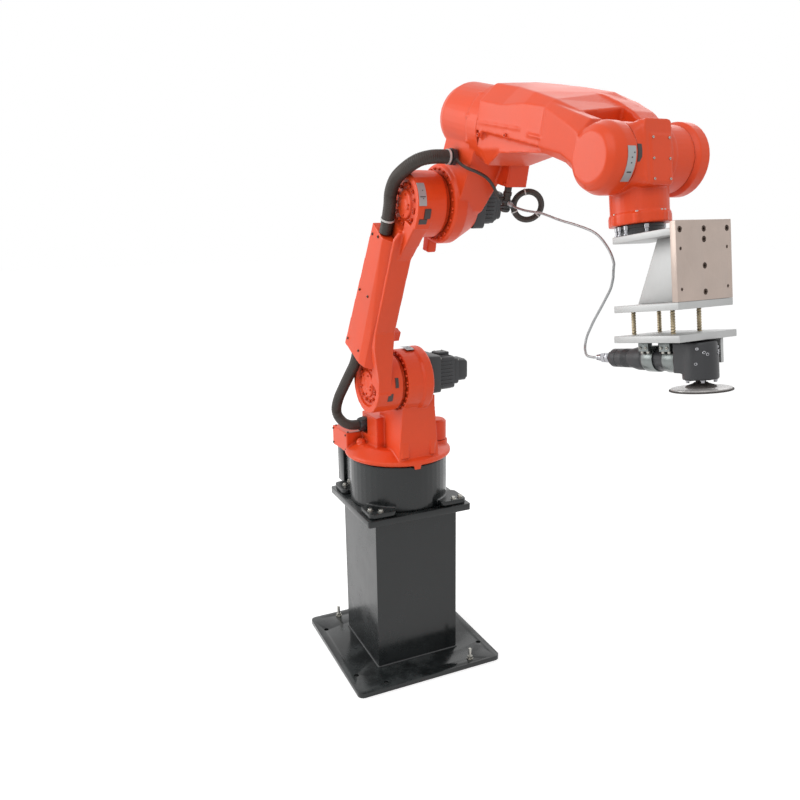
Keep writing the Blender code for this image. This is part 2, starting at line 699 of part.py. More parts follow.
wrist = frame("wrist_axis", roll, (WRIST_REACH, 0, 0), TOOL_PITCH - FOREARM_PITCH)
wrist_drum = [(WRIST_RADIUS, tine_in + GAP), (WRIST_RADIUS, WRIST_HALF)]
wrist_body = solid("wrist_body", turned(wrist_drum, "Y", sides=40), ORANGE, wrist)
front_middle = ((FRONT_RIGHT - FRONT_LEFT) / 2, (FRONT_TOP - FRONT_LOW) / 2)
join(wrist_body, prism(rounded((FRONT_RIGHT + FRONT_LEFT) / 2, (FRONT_TOP + FRONT_LOW) / 2, FRONT_EDGE, 3,
                               front_middle), "X", 0, FRONT_REACH))
side_end = WRIST_HALF + SIDE_LENGTH
join(wrist_body, turned([(SIDE_RADIUS, WRIST_HALF - OVER), (SIDE_RADIUS, side_end)], "Y", sides=40))
neck_low = TOOL_FLANGE_THICK - FLANGE_DROP + GAP
join(wrist_body, turned([(NECK_COLLAR, neck_low + GAP), (NECK_COLLAR, neck_low + COLLAR_RISE),
                         (NECK_RADIUS, neck_low + COLLAR_RISE), (NECK_RADIUS, 0)], "Z", sides=32))
rim_end = side_end + RIM_WIDTH
rim = [(RIM_RADIUS - RIM_EDGE, side_end + GAP), (RIM_RADIUS, side_end + RIM_EDGE),
       (RIM_RADIUS, rim_end - RIM_EDGE), (RIM_RADIUS - RIM_EDGE, rim_end)]
solid("flange_motor_cover", turned(rim, "Y", sides=40), ORANGE, wrist)

# Tool bracket

tool = frame("flange_axis", wrist, (0, 0, -FLANGE_DROP))
flange_profile = [(TOOL_FLANGE_RADIUS, GAP), (TOOL_FLANGE_RADIUS, TOOL_FLANGE_THICK)]
solid("tool_flange", turned(flange_profile, "Z", sides=32), MOTOR, tool)
plate_back = BRACKET_FRONT - BRACKET_THICK
web_front = plate_back - GAP
solid("bracket_top_plate", box((-BRACKET_REAR, -TOP_HALF, -BRACKET_THICK), (web_front, TOP_HALF, 0)),
      ALUMINIUM, tool)
web_low = GAP - MIDDLE_DROP
solid("bracket_front_plate", box((plate_back, -PLATE_HALF, web_low),
                                 (BRACKET_FRONT, PLATE_HALF, PLATE_PROUD)), ALUMINIUM, tool)
web_top = -BRACKET_THICK - GAP
solid("bracket_gusset", prism([(web_front, web_top), (web_front - GUSSET_TOP, web_top),
                               (web_front - GUSSET_FOOT, web_low), (web_front, web_low)], "Y",
                              -GUSSET_HALF, GUSSET_HALF), ALUMINIUM, tool)
middle_low = -MIDDLE_DROP - BRACKET_THICK
plates_rear = web_front - GUSSET_FOOT
solid("middle_plate", box((plates_rear, -PLATE_HALF, middle_low), (BRACKET_FRONT, PLATE_HALF, -MIDDLE_DROP)),
      ALUMINIUM, tool)
lower_low = -LOWER_DROP - BRACKET_THICK
lower_half = PLATE_HALF + LOWER_EXTRA
solid("lower_plate", box((plates_rear, -lower_half, lower_low),
                         (BRACKET_FRONT + LOWER_EXTRA, lower_half, -LOWER_DROP)), ALUMINIUM, tool)
rod_places = [(across, along) for across in (ROD_REAR, ROD_FRONT) for along in (-ROD_HALF, ROD_HALF)]
for number, spot in enumerate(rod_places, 1):
    solid(f"spacer_rod_{number}", turned([(ROD_RADIUS, GAP - LOWER_DROP), (ROD_RADIUS, middle_low - GAP)],
                                         "Z", spot, 12), GOLD, tool)

# Grinder

grinder_height = lower_low - GRINDER_DROP
grinder_axis = (0, grinder_height)
grinder_profile = [(HANDLE_RADIUS, -GRINDER_REAR), (HANDLE_RADIUS, -TAPER_FRONT - HANDLE_RADIUS),
                   (BODY_RADIUS, -TAPER_FRONT), (BODY_RADIUS, HEAD_REAR)]
solid("grinder_body", turned(grinder_profile, "X", grinder_axis, 28), MOTOR, tool)
for name, middle in CLAMP_PLACES.items():
    rear = middle - CLAMP_WIDTH / 2
    front = rear + CLAMP_WIDTH
    around = turned([(CLAMP_RADIUS, rear), (CLAMP_RADIUS, front)], "X", grinder_axis, 28)
    ring = solid(name, around, STEEL, tool)
    join(ring, box((rear, -BODY_RADIUS / 2, grinder_height), (front, BODY_RADIUS / 2, lower_low - GAP)))
    bore = BODY_RADIUS + GAP
    cut(ring, turned([(bore, rear - OVER), (bore, front + OVER)], "X", grinder_axis, 28))
head_low = lower_low - HEAD_DROP
head = solid("grinder_head", turned([(HEAD_RADIUS_LOW, head_low), (HEAD_RADIUS_LOW, grinder_height),
                                     (HEAD_SIDE, lower_low - OVER)], "Z", (HEAD_X, 0), 32), MOTOR, tool)
join(head, box((HEAD_REAR + GAP, -HEAD_SIDE, grinder_height - BODY_RADIUS),
               (HEAD_X, HEAD_SIDE, lower_low - OVER)))
side_top = lower_low - GAP
side_front = SIDE_PLATE_REAR + SIDE_PLATE_LENGTH
solid("grinder_side_plate", box((SIDE_PLATE_REAR, SIDE_PLATE_Y, side_top - SIDE_PLATE_HEIGHT),
                                (side_front, SIDE_PLATE_Y + SIDE_PLATE_THICK, side_top)), ALUMINIUM, tool)
inlet_end = -GRINDER_REAR - INLET_LENGTH
solid("hose_fitting", turned([(COUPLING_RADIUS, inlet_end), (INLET_RADIUS, inlet_end + COUPLING_LENGTH),
                              (INLET_RADIUS, -GRINDER_REAR - GAP)], "X", grinder_axis, 16), STEEL, tool)
spin = frame("spin_axis", tool, (HEAD_X, 0, head_low))
cone_low = -SPINDLE_LENGTH
disc_high = cone_low - CONE_RISE
disc_profile = [(DISC_SIZE, disc_high - DISC_DEPTH), (DISC_SIZE, disc_high), (DISC_CONE, disc_high + OVER),
                (SPINDLE_RADIUS, cone_low), (SPINDLE_RADIUS, -GAP)]
solid("sanding_disc", turned(disc_profile, "Z", sides=40), GRIT, spin)


# Hoses, conduits and cables


def tube(name, route, radius, material, parent, steps=4):
    """A bent tube through hand-picked points, as a smooth curve."""
    points = [Vector(point) for point in route]
    smooth = []
    padded = [2 * points[0] - points[1], *points, 2 * points[-1] - points[-2]]
    for first, start, end, last in zip(padded, padded[1:], padded[2:], padded[3:]):
        for step in range(steps):
            share = step / steps
            smooth.append(0.5 * (2 * start + (end - first) * share
                                 + (2 * first - 5 * start + 4 * end - last) * share ** 2
                                 + (3 * start - first - 3 * end + last) * share ** 3))
    smooth.append(points[-1])
    curve = bpy.data.curves.new(name, "CURVE")
    curve.dimensions = "3D"
    curve.resolution_u = 1
    curve.render_resolution_u = 0
    curve.bevel_depth = radius
    curve.bevel_resolution = 2
    curve.use_fill_caps = True
    line = curve.splines.new("POLY")
    line.points.add(len(smooth) - 1)
    for spot, point in zip(line.points, smooth):
        spot.co = (*point, 1.0)
    curve.materials.append(material)
    made = bpy.data.objects.new(name, curve)
    made.parent = parent
    bpy.context.collection.objects.link(made)
    return made


gland_end = -BLOCK_SIDE - GLAND_LENGTH
gland_height = tail_top + GLAND_RADIUS + GAP
solid("conduit_gland", turned([(GLAND_RADIUS, gland_end), (GLAND_RADIUS, -BLOCK_SIDE - GAP)], "Y",
                              (-GLAND_BEHIND, gland_height), 20), MOTOR, turn)
gland = frame("gland_mouth", turn, (-GLAND_BEHIND, gland_end - GAP, gland_height))
tube("lower_conduit", [(0, 0, 0), (0, -0.0137, 0), (0, -0.0277, 0), (-0.001, -0.0527, 0.003),
                       (-0.012, -0.0757, 0.015), (-0.029, -0.0897, 0.038), (-0.030, -0.0947, 0.068),
                       (0.002, -0.0967, 0.116),
                       (0.056, -0.0982, 0.169), (0.1145, -0.0992, 0.224), (0.1605, -0.0992, 0.268),
                       (0.1811, -0.0992, 0.2943), (0.1864, -0.0992, 0.3050), (0.1917, -0.0992, 0.3155)],
     CONDUIT_RADIUS, RUBBER, gland)

conduit_top = frame("conduit_axis", lower, (0, 0, LOWER_LENGTH))
elbow_gland = [(ELBOW_GLAND_RADIUS, -ELBOW_GLAND_OUT), (ELBOW_GLAND_RADIUS, -MAST_TOP_HALF + GAP)]
solid("elbow_gland", turned(elbow_gland, "Y", (ELBOW_GLAND_X, ELBOW_GLAND_Z), 20), MOTOR, elbow)
tube("upper_conduit", [(-0.034, -0.2185, -0.1083), (-0.034, -0.2185, -0.098), (-0.034, -0.2185, -0.088),
                       (-0.038, -0.2190, -0.028), (-0.046, -0.2200, 0.014), (-0.033, -0.2200, 0.063),
                       (0.006, -0.2160, 0.112), (0.030, -0.196, 0.146), (0.039, -0.166, 0.160),
                       (0.040, -0.135, 0.163), (0.040, -0.118, 0.163),
                       (0.040, -ELBOW_GLAND_OUT - GAP, 0.163)],
     UPPER_RADIUS, RUBBER, conduit_top)

sleeve_low = ROLL_BOX_LOW - SLEEVE_LENGTH
solid("cable_sleeve", turned([(SLEEVE_RADIUS, sleeve_low), (SLEEVE_RADIUS, ROLL_BOX_LOW - GAP)], "Z",
                             (SLEEVE_X, SLEEVE_Y), 20), RUBBER, elbow)
loop_height = ROLL_BOX_LOW - SLEEVE_LENGTH * LOOP_DROP_SHARE
loop_base = frame("loop_base", elbow, (SLEEVE_X, SLEEVE_Y, loop_height), turn_z=LOOP_TURN)
loop_axis = frame("loop_axis", loop_base, (SLEEVE_RADIUS + GAP, 0, 0))
solid("cable_loop", ring_tube(LOOP_RADIUS, LOOP_TUBE), RUBBER, loop_axis)
tube("thin_cable", [(0.0995, -0.092, 0.148), (0.1055, -0.092, 0.146), (0.113, -0.092, 0.143),
                    (0.132, -0.092, 0.138), (0.154, -0.086, 0.133), (0.171, -0.064, 0.126),
                    (0.178, -0.034, 0.112), (0.177, -0.006, 0.088), (0.171, 0.015, 0.063),
                    (0.166, 0.028, 0.0525), (0.165, 0.0345, 0.052),
                    (0.165, 0.0416, 0.052)], THIN_RADIUS, RUBBER, elbow)

coupling_height = ROLL_BOX_LOW - SLEEVE_LENGTH * COUPLING_PLACE_SHARE
coupling_axis = frame("coupling_axis", elbow, (SLEEVE_X, SLEEVE_Y, coupling_height), COUPLING_LEAN)
lean = math.radians(COUPLING_LEAN)
coupling_start = (SLEEVE_RADIUS + GAP + COUPLING_RADIUS * math.sin(lean)) / math.cos(lean)
coupling_end = coupling_start + COUPLING_LENGTH
coupling = [(COUPLING_RADIUS, coupling_start), (COUPLING_RADIUS, coupling_end)]
solid("hose_coupling", turned(coupling, "X", sides=12), STEEL, coupling_axis)
mouth = frame("hose_mouth", coupling_axis, (coupling_end + GAP, 0, 0), -COUPLING_LEAN - FOREARM_PITCH)
tube("hose_elbow_run", [(0, 0, 0), (0.0085, 0, -0.0029), (0.017, 0, -0.0058), (0.065, -0.002, -0.0150),
                        (0.1334, -0.005, -0.0225), (0.175, -0.009, -0.0300), (0.2128, -0.0136, -0.0381),
                        (0.2216, -0.0143, -0.0398), (0.2304, -0.015, -0.0415)], HOSE_RADIUS, HOSE, mouth)
tube("hose_free_run", [(0.2307, -0.015, -0.0416), (0.2393, -0.0157, -0.0433), (0.2481, -0.0164, -0.0450),
                       (0.300, -0.0205, -0.0540), (0.3584, -0.025, -0.0665), (0.390, -0.025, -0.0795),
                       (0.4160, -0.025, -0.0990), (0.4370, -0.025, -0.1220), (0.4484, -0.025, -0.1435),
                       (0.4484, -0.025, -0.1525), (0.4484, -0.025, -0.1615)], HOSE_RADIUS, HOSE, mouth)
tube("hose_wrist_run", [(0.4484, -0.025, -0.1618), (0.4484, -0.025, -0.1705), (0.4484, -0.025, -0.1795),
                        (0.4420, -0.025, -0.2050), (0.4260, -0.025, -0.2320), (0.4084, -0.025, -0.2595),
                        (0.3900, -0.025, -0.2870), (0.3754, -0.025, -0.3130), (0.3680, -0.027, -0.3320),
                        (0.3700, -0.033, -0.3500), (0.3830, -0.044, -0.3630), (0.4010, -0.053, -0.3730),
                        (0.4233, -0.055, -0.3737), (0.4322, -0.055, -0.3725), (0.4412, -0.055, -0.3712)],
     HOSE_RADIUS, HOSE, mouth)
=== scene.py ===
"""Looks of the industrial robot arm: cast surfaces, finishes, fasteners, hoses and the studio.

Everything is in metres, in the row frame, and angles are in degrees. Each link has a matrix of its own,
with the same places and angles as the part's source, so a piece is written where the link carries it.
"""
import json
from itertools import product
from math import cos, pi, radians, sin

import bmesh
import bpy
from mathutils import Matrix, Vector


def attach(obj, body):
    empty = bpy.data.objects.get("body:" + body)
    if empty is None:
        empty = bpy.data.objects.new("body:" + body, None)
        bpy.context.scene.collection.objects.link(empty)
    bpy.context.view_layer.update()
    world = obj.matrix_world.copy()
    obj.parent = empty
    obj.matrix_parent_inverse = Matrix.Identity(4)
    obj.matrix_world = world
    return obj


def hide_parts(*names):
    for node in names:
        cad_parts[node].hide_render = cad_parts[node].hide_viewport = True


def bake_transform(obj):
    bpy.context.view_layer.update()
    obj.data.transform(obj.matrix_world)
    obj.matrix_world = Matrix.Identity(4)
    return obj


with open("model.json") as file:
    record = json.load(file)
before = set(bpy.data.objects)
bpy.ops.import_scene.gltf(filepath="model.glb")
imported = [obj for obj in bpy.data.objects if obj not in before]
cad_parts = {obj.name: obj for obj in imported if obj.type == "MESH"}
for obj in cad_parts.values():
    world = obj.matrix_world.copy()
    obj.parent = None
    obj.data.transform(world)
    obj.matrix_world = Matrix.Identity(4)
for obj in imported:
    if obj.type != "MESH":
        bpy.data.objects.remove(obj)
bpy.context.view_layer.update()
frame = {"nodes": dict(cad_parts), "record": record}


# Camera, at the place that the photograph was taken from
CAMERA_PLACE = (2.52456, -1.10516, 1.709)
CAMERA_YAW = 66.1007
CAMERA_PITCH = 13.783
CAMERA_ROLL = -0.935
CAMERA_LENS = 33.107


def shifted(base, place, tilt=0.0):
    """A frame at a place in another one, turned about Y by so many degrees."""
    return base @ Matrix.Translation(place) @ Matrix.Rotation(radians(tilt), 4, "Y")


def spun(base, angle):
    """A frame turned about its own Z by so many degrees."""
    return base @ Matrix.Rotation(radians(angle), 4, "Z")


def add_object(name, data):
    """A new object in the scene."""
    made = bpy.data.objects.new(name, data)
    bpy.context.scene.collection.objects.link(made)
    return made


def add_camera():
    """A camera with the photograph's place, direction and lens."""
    yaw, pitch = radians(CAMERA_YAW), radians(CAMERA_PITCH)
    gaze = Vector((-sin(yaw) * cos(pitch), cos(yaw) * cos(pitch), -sin(pitch)))
    camera = add_object("camera", bpy.data.cameras.new("camera"))
    aim = gaze.to_track_quat("-Z", "Y").to_matrix().to_4x4()
    camera.matrix_world = spun(Matrix.Translation(CAMERA_PLACE) @ aim, CAMERA_ROLL)
    camera.data.lens = CAMERA_LENS
    bpy.context.scene.camera = camera


add_camera()


# Directions of a link: towards its front, its rear, its near side and up
FRONT = (1, 0, 0)
REAR = (-1, 0, 0)
NEAR = (0, -1, 0)
UP = (0, 0, 1)

# The links' frames, in the pose of the photograph
BASE_TURN = 3.4
ARM_LEAN = 26.3
FOREARM_PITCH = 13.9
TOOL_PITCH = -8.0
COUPLING_TILT = 5.0
SHOULDER = (0.15, 0, 1.148)
ARM_LENGTH = 0.675
ROLL_RISE = 0.252
WRIST_REACH = 0.698
FLANGE_DROP = 0.166
SPINDLE_REACH = 0.152
SPINDLE_DROP = 0.316
BOOT_SPOT = (0.165, 0.055)
GROUND = Matrix.Identity(4)
TURN = spun(GROUND, BASE_TURN)
LOWER = shifted(TURN, SHOULDER, ARM_LEAN)
ARM_TOP = shifted(LOWER, (0, 0, ARM_LENGTH))
ELBOW = shifted(ARM_TOP, (0, 0, 0), FOREARM_PITCH - ARM_LEAN)
ROLL = shifted(ELBOW, (0, 0, ROLL_RISE))
WRIST = shifted(ROLL, (WRIST_REACH, 0, 0), TOOL_PITCH - FOREARM_PITCH)
TOOL = shifted(WRIST, (0, 0, -FLANGE_DROP))
SPIN = shifted(TOOL, (SPINDLE_REACH, 0, -SPINDLE_DROP))
GLAND = shifted(TURN, (-0.062, -0.1193, 0.9403))
COUPLING = shifted(ELBOW, (*BOOT_SPOT, 0.0415), COUPLING_TILT)
HOSE_MOUTH = shifted(COUPLING, (0.0343, 0, 0), -COUPLING_TILT - FOREARM_PITCH)


# Finishes

def joined(tree, kind, **values):
    """A new node with its settings and its sockets' values or links."""
    made = tree.nodes.new("ShaderNode" + kind)
    for key, value in values.items():
        socket = key.replace("_", " ")
        if socket in made.inputs:
            if isinstance(value, bpy.types.NodeSocket):
                tree.links.new(value, made.inputs[socket])
            else:
                made.inputs[socket].default_value = value
        else:
            setattr(made, key, value)
    return made


def ramp(tree, value, low, high, start, end):
    """A value mapped from one span to another, and held at its ends."""
    return joined(tree, "MapRange", Value=value, From_Min=low, From_Max=high, To_Min=start,
                  To_Max=end).outputs["Result"]


def mixed(tree, factor, first, second):
    """Two colours mixed by a factor."""
    made = joined(tree, "Mix", data_type="RGBA")
    for socket, value in ((made.inputs[0], factor), (made.inputs[6], first), (made.inputs[7], second)):
        if isinstance(value, bpy.types.NodeSocket):
            tree.links.new(value, socket)
        else:
            socket.default_value = (*value, 1)
    return made.outputs[2]


def scaled(colour, share):
    """A colour, lighter or darker."""
    return tuple(min(1.0, part * share) for part in colour)


def finish(name, colour, rough, metal=0.0, coat=0.0, tone=0.1, blotch=5.0, spread=0.08, grain=350.0,
           bump=0.05, painted_shade=0.5, stretch=(1, 1, 1), top_sheen=None, gloss=0.5):
    """A procedural finish: uneven colour and gloss, fine relief, painted shade where surfaces meet and, when
    asked, a painted sheen on upward faces.
    """
    made = bpy.data.materials.new(name)
    made.use_nodes = True
    tree = made.node_tree
    shader = tree.nodes["Principled BSDF"]
    for socket, value in (("Metallic", metal), ("Coat Weight", coat), ("Coat Roughness", 0.12),
                          ("Specular IOR Level", gloss)):
        shader.inputs[socket].default_value = value
    place = joined(tree, "TexCoord").outputs["Object"]
    along = joined(tree, "Mapping", Vector=place, Scale=stretch).outputs["Vector"]
    patches = joined(tree, "TexNoise", Vector=place, Scale=blotch, Detail=5.0, Roughness=0.6).outputs["Fac"]
    fine = joined(tree, "TexNoise", Vector=along, Scale=grain, Detail=3.0).outputs["Fac"]
    pale = ramp(tree, patches, 0.35, 0.65, 0, 1)
    base = mixed(tree, pale, scaled(colour, 1 - tone), scaled(colour, 1 + tone))
    base = mixed(tree, ramp(tree, fine, 0.4, 0.7, 0, tone), base, scaled(colour, 0.6))
    # Painted sheen: faces that look up turn paler in patches, towards the given colour.
    if top_sheen:
        up = joined(tree, "SeparateXYZ", Vector=joined(tree, "NewGeometry").outputs["Normal"]).outputs["Z"]
        lying = joined(tree, "Math", operation="MULTIPLY")
        tree.links.new(ramp(tree, up, 0.6, 1.0, 0, 1), lying.inputs[0])
        tree.links.new(ramp(tree, patches, 0.45, 0.75, 0, top_sheen[1]), lying.inputs[1])
        base = mixed(tree, lying.outputs[0], base, top_sheen[0])
    # Painted shade: where ambient occlusion finds creases and recesses, the colour darkens towards a dark
    # copy of itself.
    if painted_shade:
        hidden = joined(tree, "AmbientOcclusion", samples=4, Distance=0.022).outputs["AO"]
        base = mixed(tree, ramp(tree, hidden, 0.25, 0.85, painted_shade, 0), base, scaled(colour, 0.22))
    tree.links.new(base, shader.inputs["Base Color"])
    tree.links.new(ramp(tree, patches, 0.3, 0.7, rough - spread, rough + spread), shader.inputs["Roughness"])
    relief = joined(tree, "Bump", Height=fine, Distance=0.0006, Strength=bump)
    tree.links.new(relief.outputs["Normal"], shader.inputs["Normal"])
    return made


# Each finish below darkens in creases and recesses as painted shade.
LOOKS = {
    "orange_paint": finish("robot orange", (0.82, 0.072, 0.013), 0.4, coat=0.08, tone=0.06, blotch=3.0,
                           grain=260.0, bump=0.1, painted_shade=0.75, gloss=0.35),
    # The black paint's paler upward faces are a painted sheen.
    "black_paint": finish("black enamel", (0.009, 0.0112, 0.0118), 0.24, coat=0.12, tone=0.25, blotch=9.0,
                          spread=0.1, grain=180.0, bump=0.12, painted_shade=0.4, top_sheen=((0.22, 0.24, 0.24), 0.22),
                          gloss=0.4),
    "motor_black": finish("motor black", (0.03, 0.031, 0.034), 0.42, tone=0.15, grain=700.0, bump=0.22,
                          painted_shade=0.5),
    "aluminium": finish("machined aluminium", (0.5, 0.505, 0.5), 0.5, metal=0.6, tone=0.06, blotch=7.0,
                        grain=60.0, bump=0.1, painted_shade=0.35, stretch=(1, 14, 1)),
    "bright_steel": finish("bright steel", (0.22, 0.24, 0.235), 0.32, metal=0.85, tone=0.12, blotch=30.0,
                           grain=500.0, bump=0.08, painted_shade=0.5),
    "yellow_zinc": finish("yellow zinc", (0.5, 0.41, 0.27), 0.34, metal=0.85, tone=0.2, blotch=80.0,
                          painted_shade=0.8),
    "black_rubber": finish("black rubber", (0.04, 0.031, 0.025), 0.55, tone=0.2, blotch=12.0, grain=600.0,
                           bump=0.15),
    "braided_hose": finish("braided hose", (0.36, 0.37, 0.375), 0.36, metal=0.6, tone=0.2, blotch=400.0,
                           grain=1400.0, bump=0.5, painted_shade=0.2),
    "sanding_grit": finish("sanding grit", (0.06, 0.052, 0.048), 0.75, tone=0.5, blotch=40.0, grain=900.0,
                           bump=0.9, painted_shade=0.3),
}
TRIMS = {
    "front_aluminium": finish("front aluminium", (0.5, 0.41, 0.36), 0.42, metal=0.7, tone=0.07, blotch=9.0,
                              grain=55.0, bump=0.08, painted_shade=0.3, stretch=(1, 12, 1)),
    "chrome": finish("chrome plate", (0.4, 0.4, 0.42), 0.16, metal=1.0, tone=0.05, blotch=60.0, spread=0.04,
                     bump=0.02),
    "oxide": finish("black oxide", (0.085, 0.055, 0.04), 0.33, metal=0.6, tone=0.2, bump=0.06),
    "zinc": finish("zinc plate", (0.52, 0.51, 0.47), 0.28, metal=0.9, tone=0.15, blotch=60.0, bump=0.06),
    "strip": finish("scale strip", (0.42, 0.44, 0.45), 0.42, metal=0.3, tone=0.05, bump=0.02),
    "tag": finish("dark tag", (0.045, 0.03, 0.028), 0.4, tone=0.1, bump=0.03),
    "weld": finish("weld bead", (0.03, 0.032, 0.034), 0.3, coat=0.3, tone=0.3, grain=220.0, bump=0.5),
    "tie": finish("cable tie", (0.62, 0.62, 0.6), 0.45, tone=0.05, bump=0.02),
    "mark": finish("scale mark", (0.03, 0.03, 0.03), 0.5, tone=0.1, bump=0.02),
    "pad": finish("backing pad", (0.52, 0.5, 0.49), 0.26, metal=0.2, tone=0.2, blotch=30.0, bump=0.1),
}
for part in frame["record"]["subparts"]:
    for place in frame["nodes"][part["node"]].material_slots:
        place.material = LOOKS[part["material_slot"]]


# Shapes

CORNERS = ((1, 1), (-1, 1), (-1, -1), (1, -1))


def around(at, reach, angle, height):
    """A point that stands off from a frame's Z."""
    return at @ Vector((reach * cos(angle), reach * sin(angle), height))


def pointed(base, spot, out):
    """A frame at a spot of another one, with its Z along a direction of that one."""
    return base @ Matrix.Translation(spot) @ Vector(out).to_track_quat("Z", "Y").to_matrix().to_4x4()


def faced(base, out, spots):
    """Frames at some spots of another one, all with their Z along one direction."""
    return [pointed(base, spot, out) for spot in spots]


def sideways(base, spot=(0, 0, 0)):
    """A frame whose X, Y and Z lie along another one's X, Z and -Y."""
    return base @ Matrix.Translation(spot) @ Matrix.Rotation(radians(90), 4, "X")


def add_rings(shape, rings, closed=False):
    """Skin over rings of points that have the same count, with flat ends or closed on itself."""
    rows = [[shape.verts.new(point) for point in ring] for ring in rings]
    count = len(rows[0])
    pairs = list(zip(rows, rows[1:] + rows[:1])) if closed else list(zip(rows, rows[1:]))
    for low, high in pairs:
        for step in range(count):
            after = (step + 1) % count
            shape.faces.new((low[step], low[after], high[after], high[step]))
    if not closed:
        shape.faces.new(rows[0][::-1])
        shape.faces.new(rows[-1])


def corner_reach(radius, angle, corners=0):
    """Distance to a regular polygon's side at an angle, or the radius itself."""
    half = pi / corners if corners else 0
    return radius * cos(half) / cos(angle % (2 * half) - half) if corners else radius


def add_turned(shape, at, profile, sides=24):
    """Round solid along Z through (radius, height) pairs; a third number gives a polygon's corners."""
    rings = []
    for radius, height, *corners in profile:
        angles = [2 * pi * step / sides for step in range(sides)]
        rings.append([around(at, corner_reach(radius, angle, *corners), angle, height) for angle in angles])
    add_rings(shape, rings)


def add_prism(shape, at, outline, low, high):
    """Straight solid with one outline, along Z."""
    add_rings(shape, [[at @ Vector((*point, height)) for point in outline] for height in (low, high)])


def add_box(shape, at, low, high):
    """Block between two corners."""
    outline = [(low[0], low[1]), (high[0], low[1]), (high[0], high[1]), (low[0], high[1])]
    add_prism(shape, at, outline, low[2], high[2])


def rounded(half, corner, steps=5):
    """Outline of a square with round corners."""
    points = []
    for quarter, (side, end) in enumerate(CORNERS):
        for step in range(steps + 1):
            angle = pi / 2 * (quarter + step / steps)
            points.append((side * (half - corner) + corner * cos(angle),
                           end * (half - corner) + corner * sin(angle)))
    return points


def smooth_route(at, points, steps):
    """A smooth line through given points of a frame."""
    points = [at @ Vector(point) for point in points]
    padded = [2 * points[0] - points[1], *points, 2 * points[-1] - points[-2]]
    line = []
    for first, start, end, last in zip(padded, padded[1:], padded[2:], padded[3:]):
        for step in range(steps):
            share = step / steps
            line.append(0.5 * (2 * start + (end - first) * share
                               + (2 * first - 5 * start + 4 * end - last) * share ** 2
                               + (3 * start - first - 3 * end + last) * share ** 3))
    line.append(points[-1])
    return line


def even_line(line, pitch):
    """The same line with points at an even pitch."""
    lengths = [0.0]
    for start, end in zip(line, line[1:]):
        lengths.append(lengths[-1] + (end - start).length)
    count = max(2, round(lengths[-1] / pitch))
    spots, index = [], 0
    for step in range(count + 1):
        want = lengths[-1] * step / count
        while index < len(line) - 2 and lengths[index + 1] < want:
            index += 1
        share = (want - lengths[index]) / (lengths[index + 1] - lengths[index])
        spots.append(line[index].lerp(line[index + 1], min(1.0, share)))
    return spots


def add_tube(shape, line, radius, sides=16, closed=False):
    """Tube along a line; the radius is a number or a function of the point's number."""
    count = len(line)
    normal = None
    rings = []
    for number, point in enumerate(line):
        before = line[number - 1] if number or closed else point
        after = line[(number + 1) % count] if number < count - 1 or closed else point
        along = (after - before).normalized()
        if normal is None:
            normal = along.orthogonal().normalized()
        normal = (normal - along * normal.dot(along)).normalized()
        side = along.cross(normal)
        reach = radius(number) if callable(radius) else radius
        rings.append([point + reach * (normal * cos(2 * pi * step / sides)
                                       + side * sin(2 * pi * step / sides))
                      for step in range(sides)])
    add_rings(shape, rings, closed)


def add_cap_screw(shape, at, radius, height):
    """Socket head screw on its seat."""
    add_turned(shape, at, [(radius, 0), (radius, height * 0.85), (radius * 0.86, height),
                           (radius * 0.6, height, 6), (radius * 0.6, height * 0.4, 6)])


def add_hex_bolt(shape, at, radius, height):
    """Hexagon head on a washer."""
    add_turned(shape, at, [(radius * 1.3, 0), (radius * 1.3, height * 0.18), (radius * 1.22, height * 0.22),
                           (radius, height * 0.22, 6), (radius, height * 0.88, 6), (radius * 0.84, height)])


def add_dome(shape, at, radius, height):
    """Low round cap."""
    rings = [(radius * cos(step * 0.3), height * sin(step * 0.3)) for step in range(5)]
    add_turned(shape, at, [(radius, -0.002), *rings], 20)


def circle_of(at, radius, count, start=0.0, end=360.0):
    """Frames on a circle about Z, each turned to face outward."""
    spread = (end - start) / (count if end - start == 360.0 else max(1, count - 1))
    for step in range(count):
        yield shifted(spun(at, start + spread * step), (radius, 0, 0))


def add_band(shape, at, inner, outer, low, high, sides, start=0, end=360):
    """Ring about Z with a square section, or the part of it between two angles."""
    closed = end - start == 360
    angles = [radians(start + (end - start) * step / sides) for step in range(sides + (not closed))]
    corners = ((inner, low), (outer, low), (outer, high), (inner, high))
    rings = [[around(at, reach, angle, height) for reach, height in corners] for angle in angles]
    add_rings(shape, rings, closed)


def add_thread(shape, at, radius, depth, pitch, low, high, sides=16):
    """Threaded rod along Z."""
    rings = []
    count = round((high - low) / pitch * 5)
    for number in range(count + 1):
        height = low + (high - low) * number / count
        ring = []
        for step in range(sides):
            turn = (height / pitch - step / sides) % 1.0
            reach = radius - depth * abs(2 * turn - 1)
            angle = 2 * pi * step / sides
            ring.append(around(at, reach, angle, height))
        rings.append(ring)
    add_rings(shape, rings)


def square_of(at, half, height):
    """Frames on the corners of a square."""
    return [shifted(at, (side * half, end * half, height)) for side, end in product((-1, 1), (-1, 1))]


# Pieces

def settle(made):
    """Apply a piece's modifiers."""
    graph = bpy.context.evaluated_depsgraph_get()
    mesh = bpy.data.meshes.new_from_object(made.evaluated_get(graph))
    made.modifiers.clear()
    made.data = mesh


def new_object(name, shape):
    """An object from a finished bmesh."""
    bmesh.ops.recalc_face_normals(shape, faces=shape.faces)
    mesh = bpy.data.meshes.new(name)
    shape.to_mesh(mesh)
    shape.free()
    return add_object(name, mesh)


def dressed(made, slot, look=None, sharp=38.0):
    """Give a piece the finish of its look, or else of its slot, and smooth shading with sharp edges."""
    made.data.materials.clear()
    made.data.materials.append(TRIMS[look] if look else LOOKS[slot])
    made.data.shade_smooth()
    if sharp:
        made.data.set_sharp_from_angle(angle=radians(sharp))
    return made


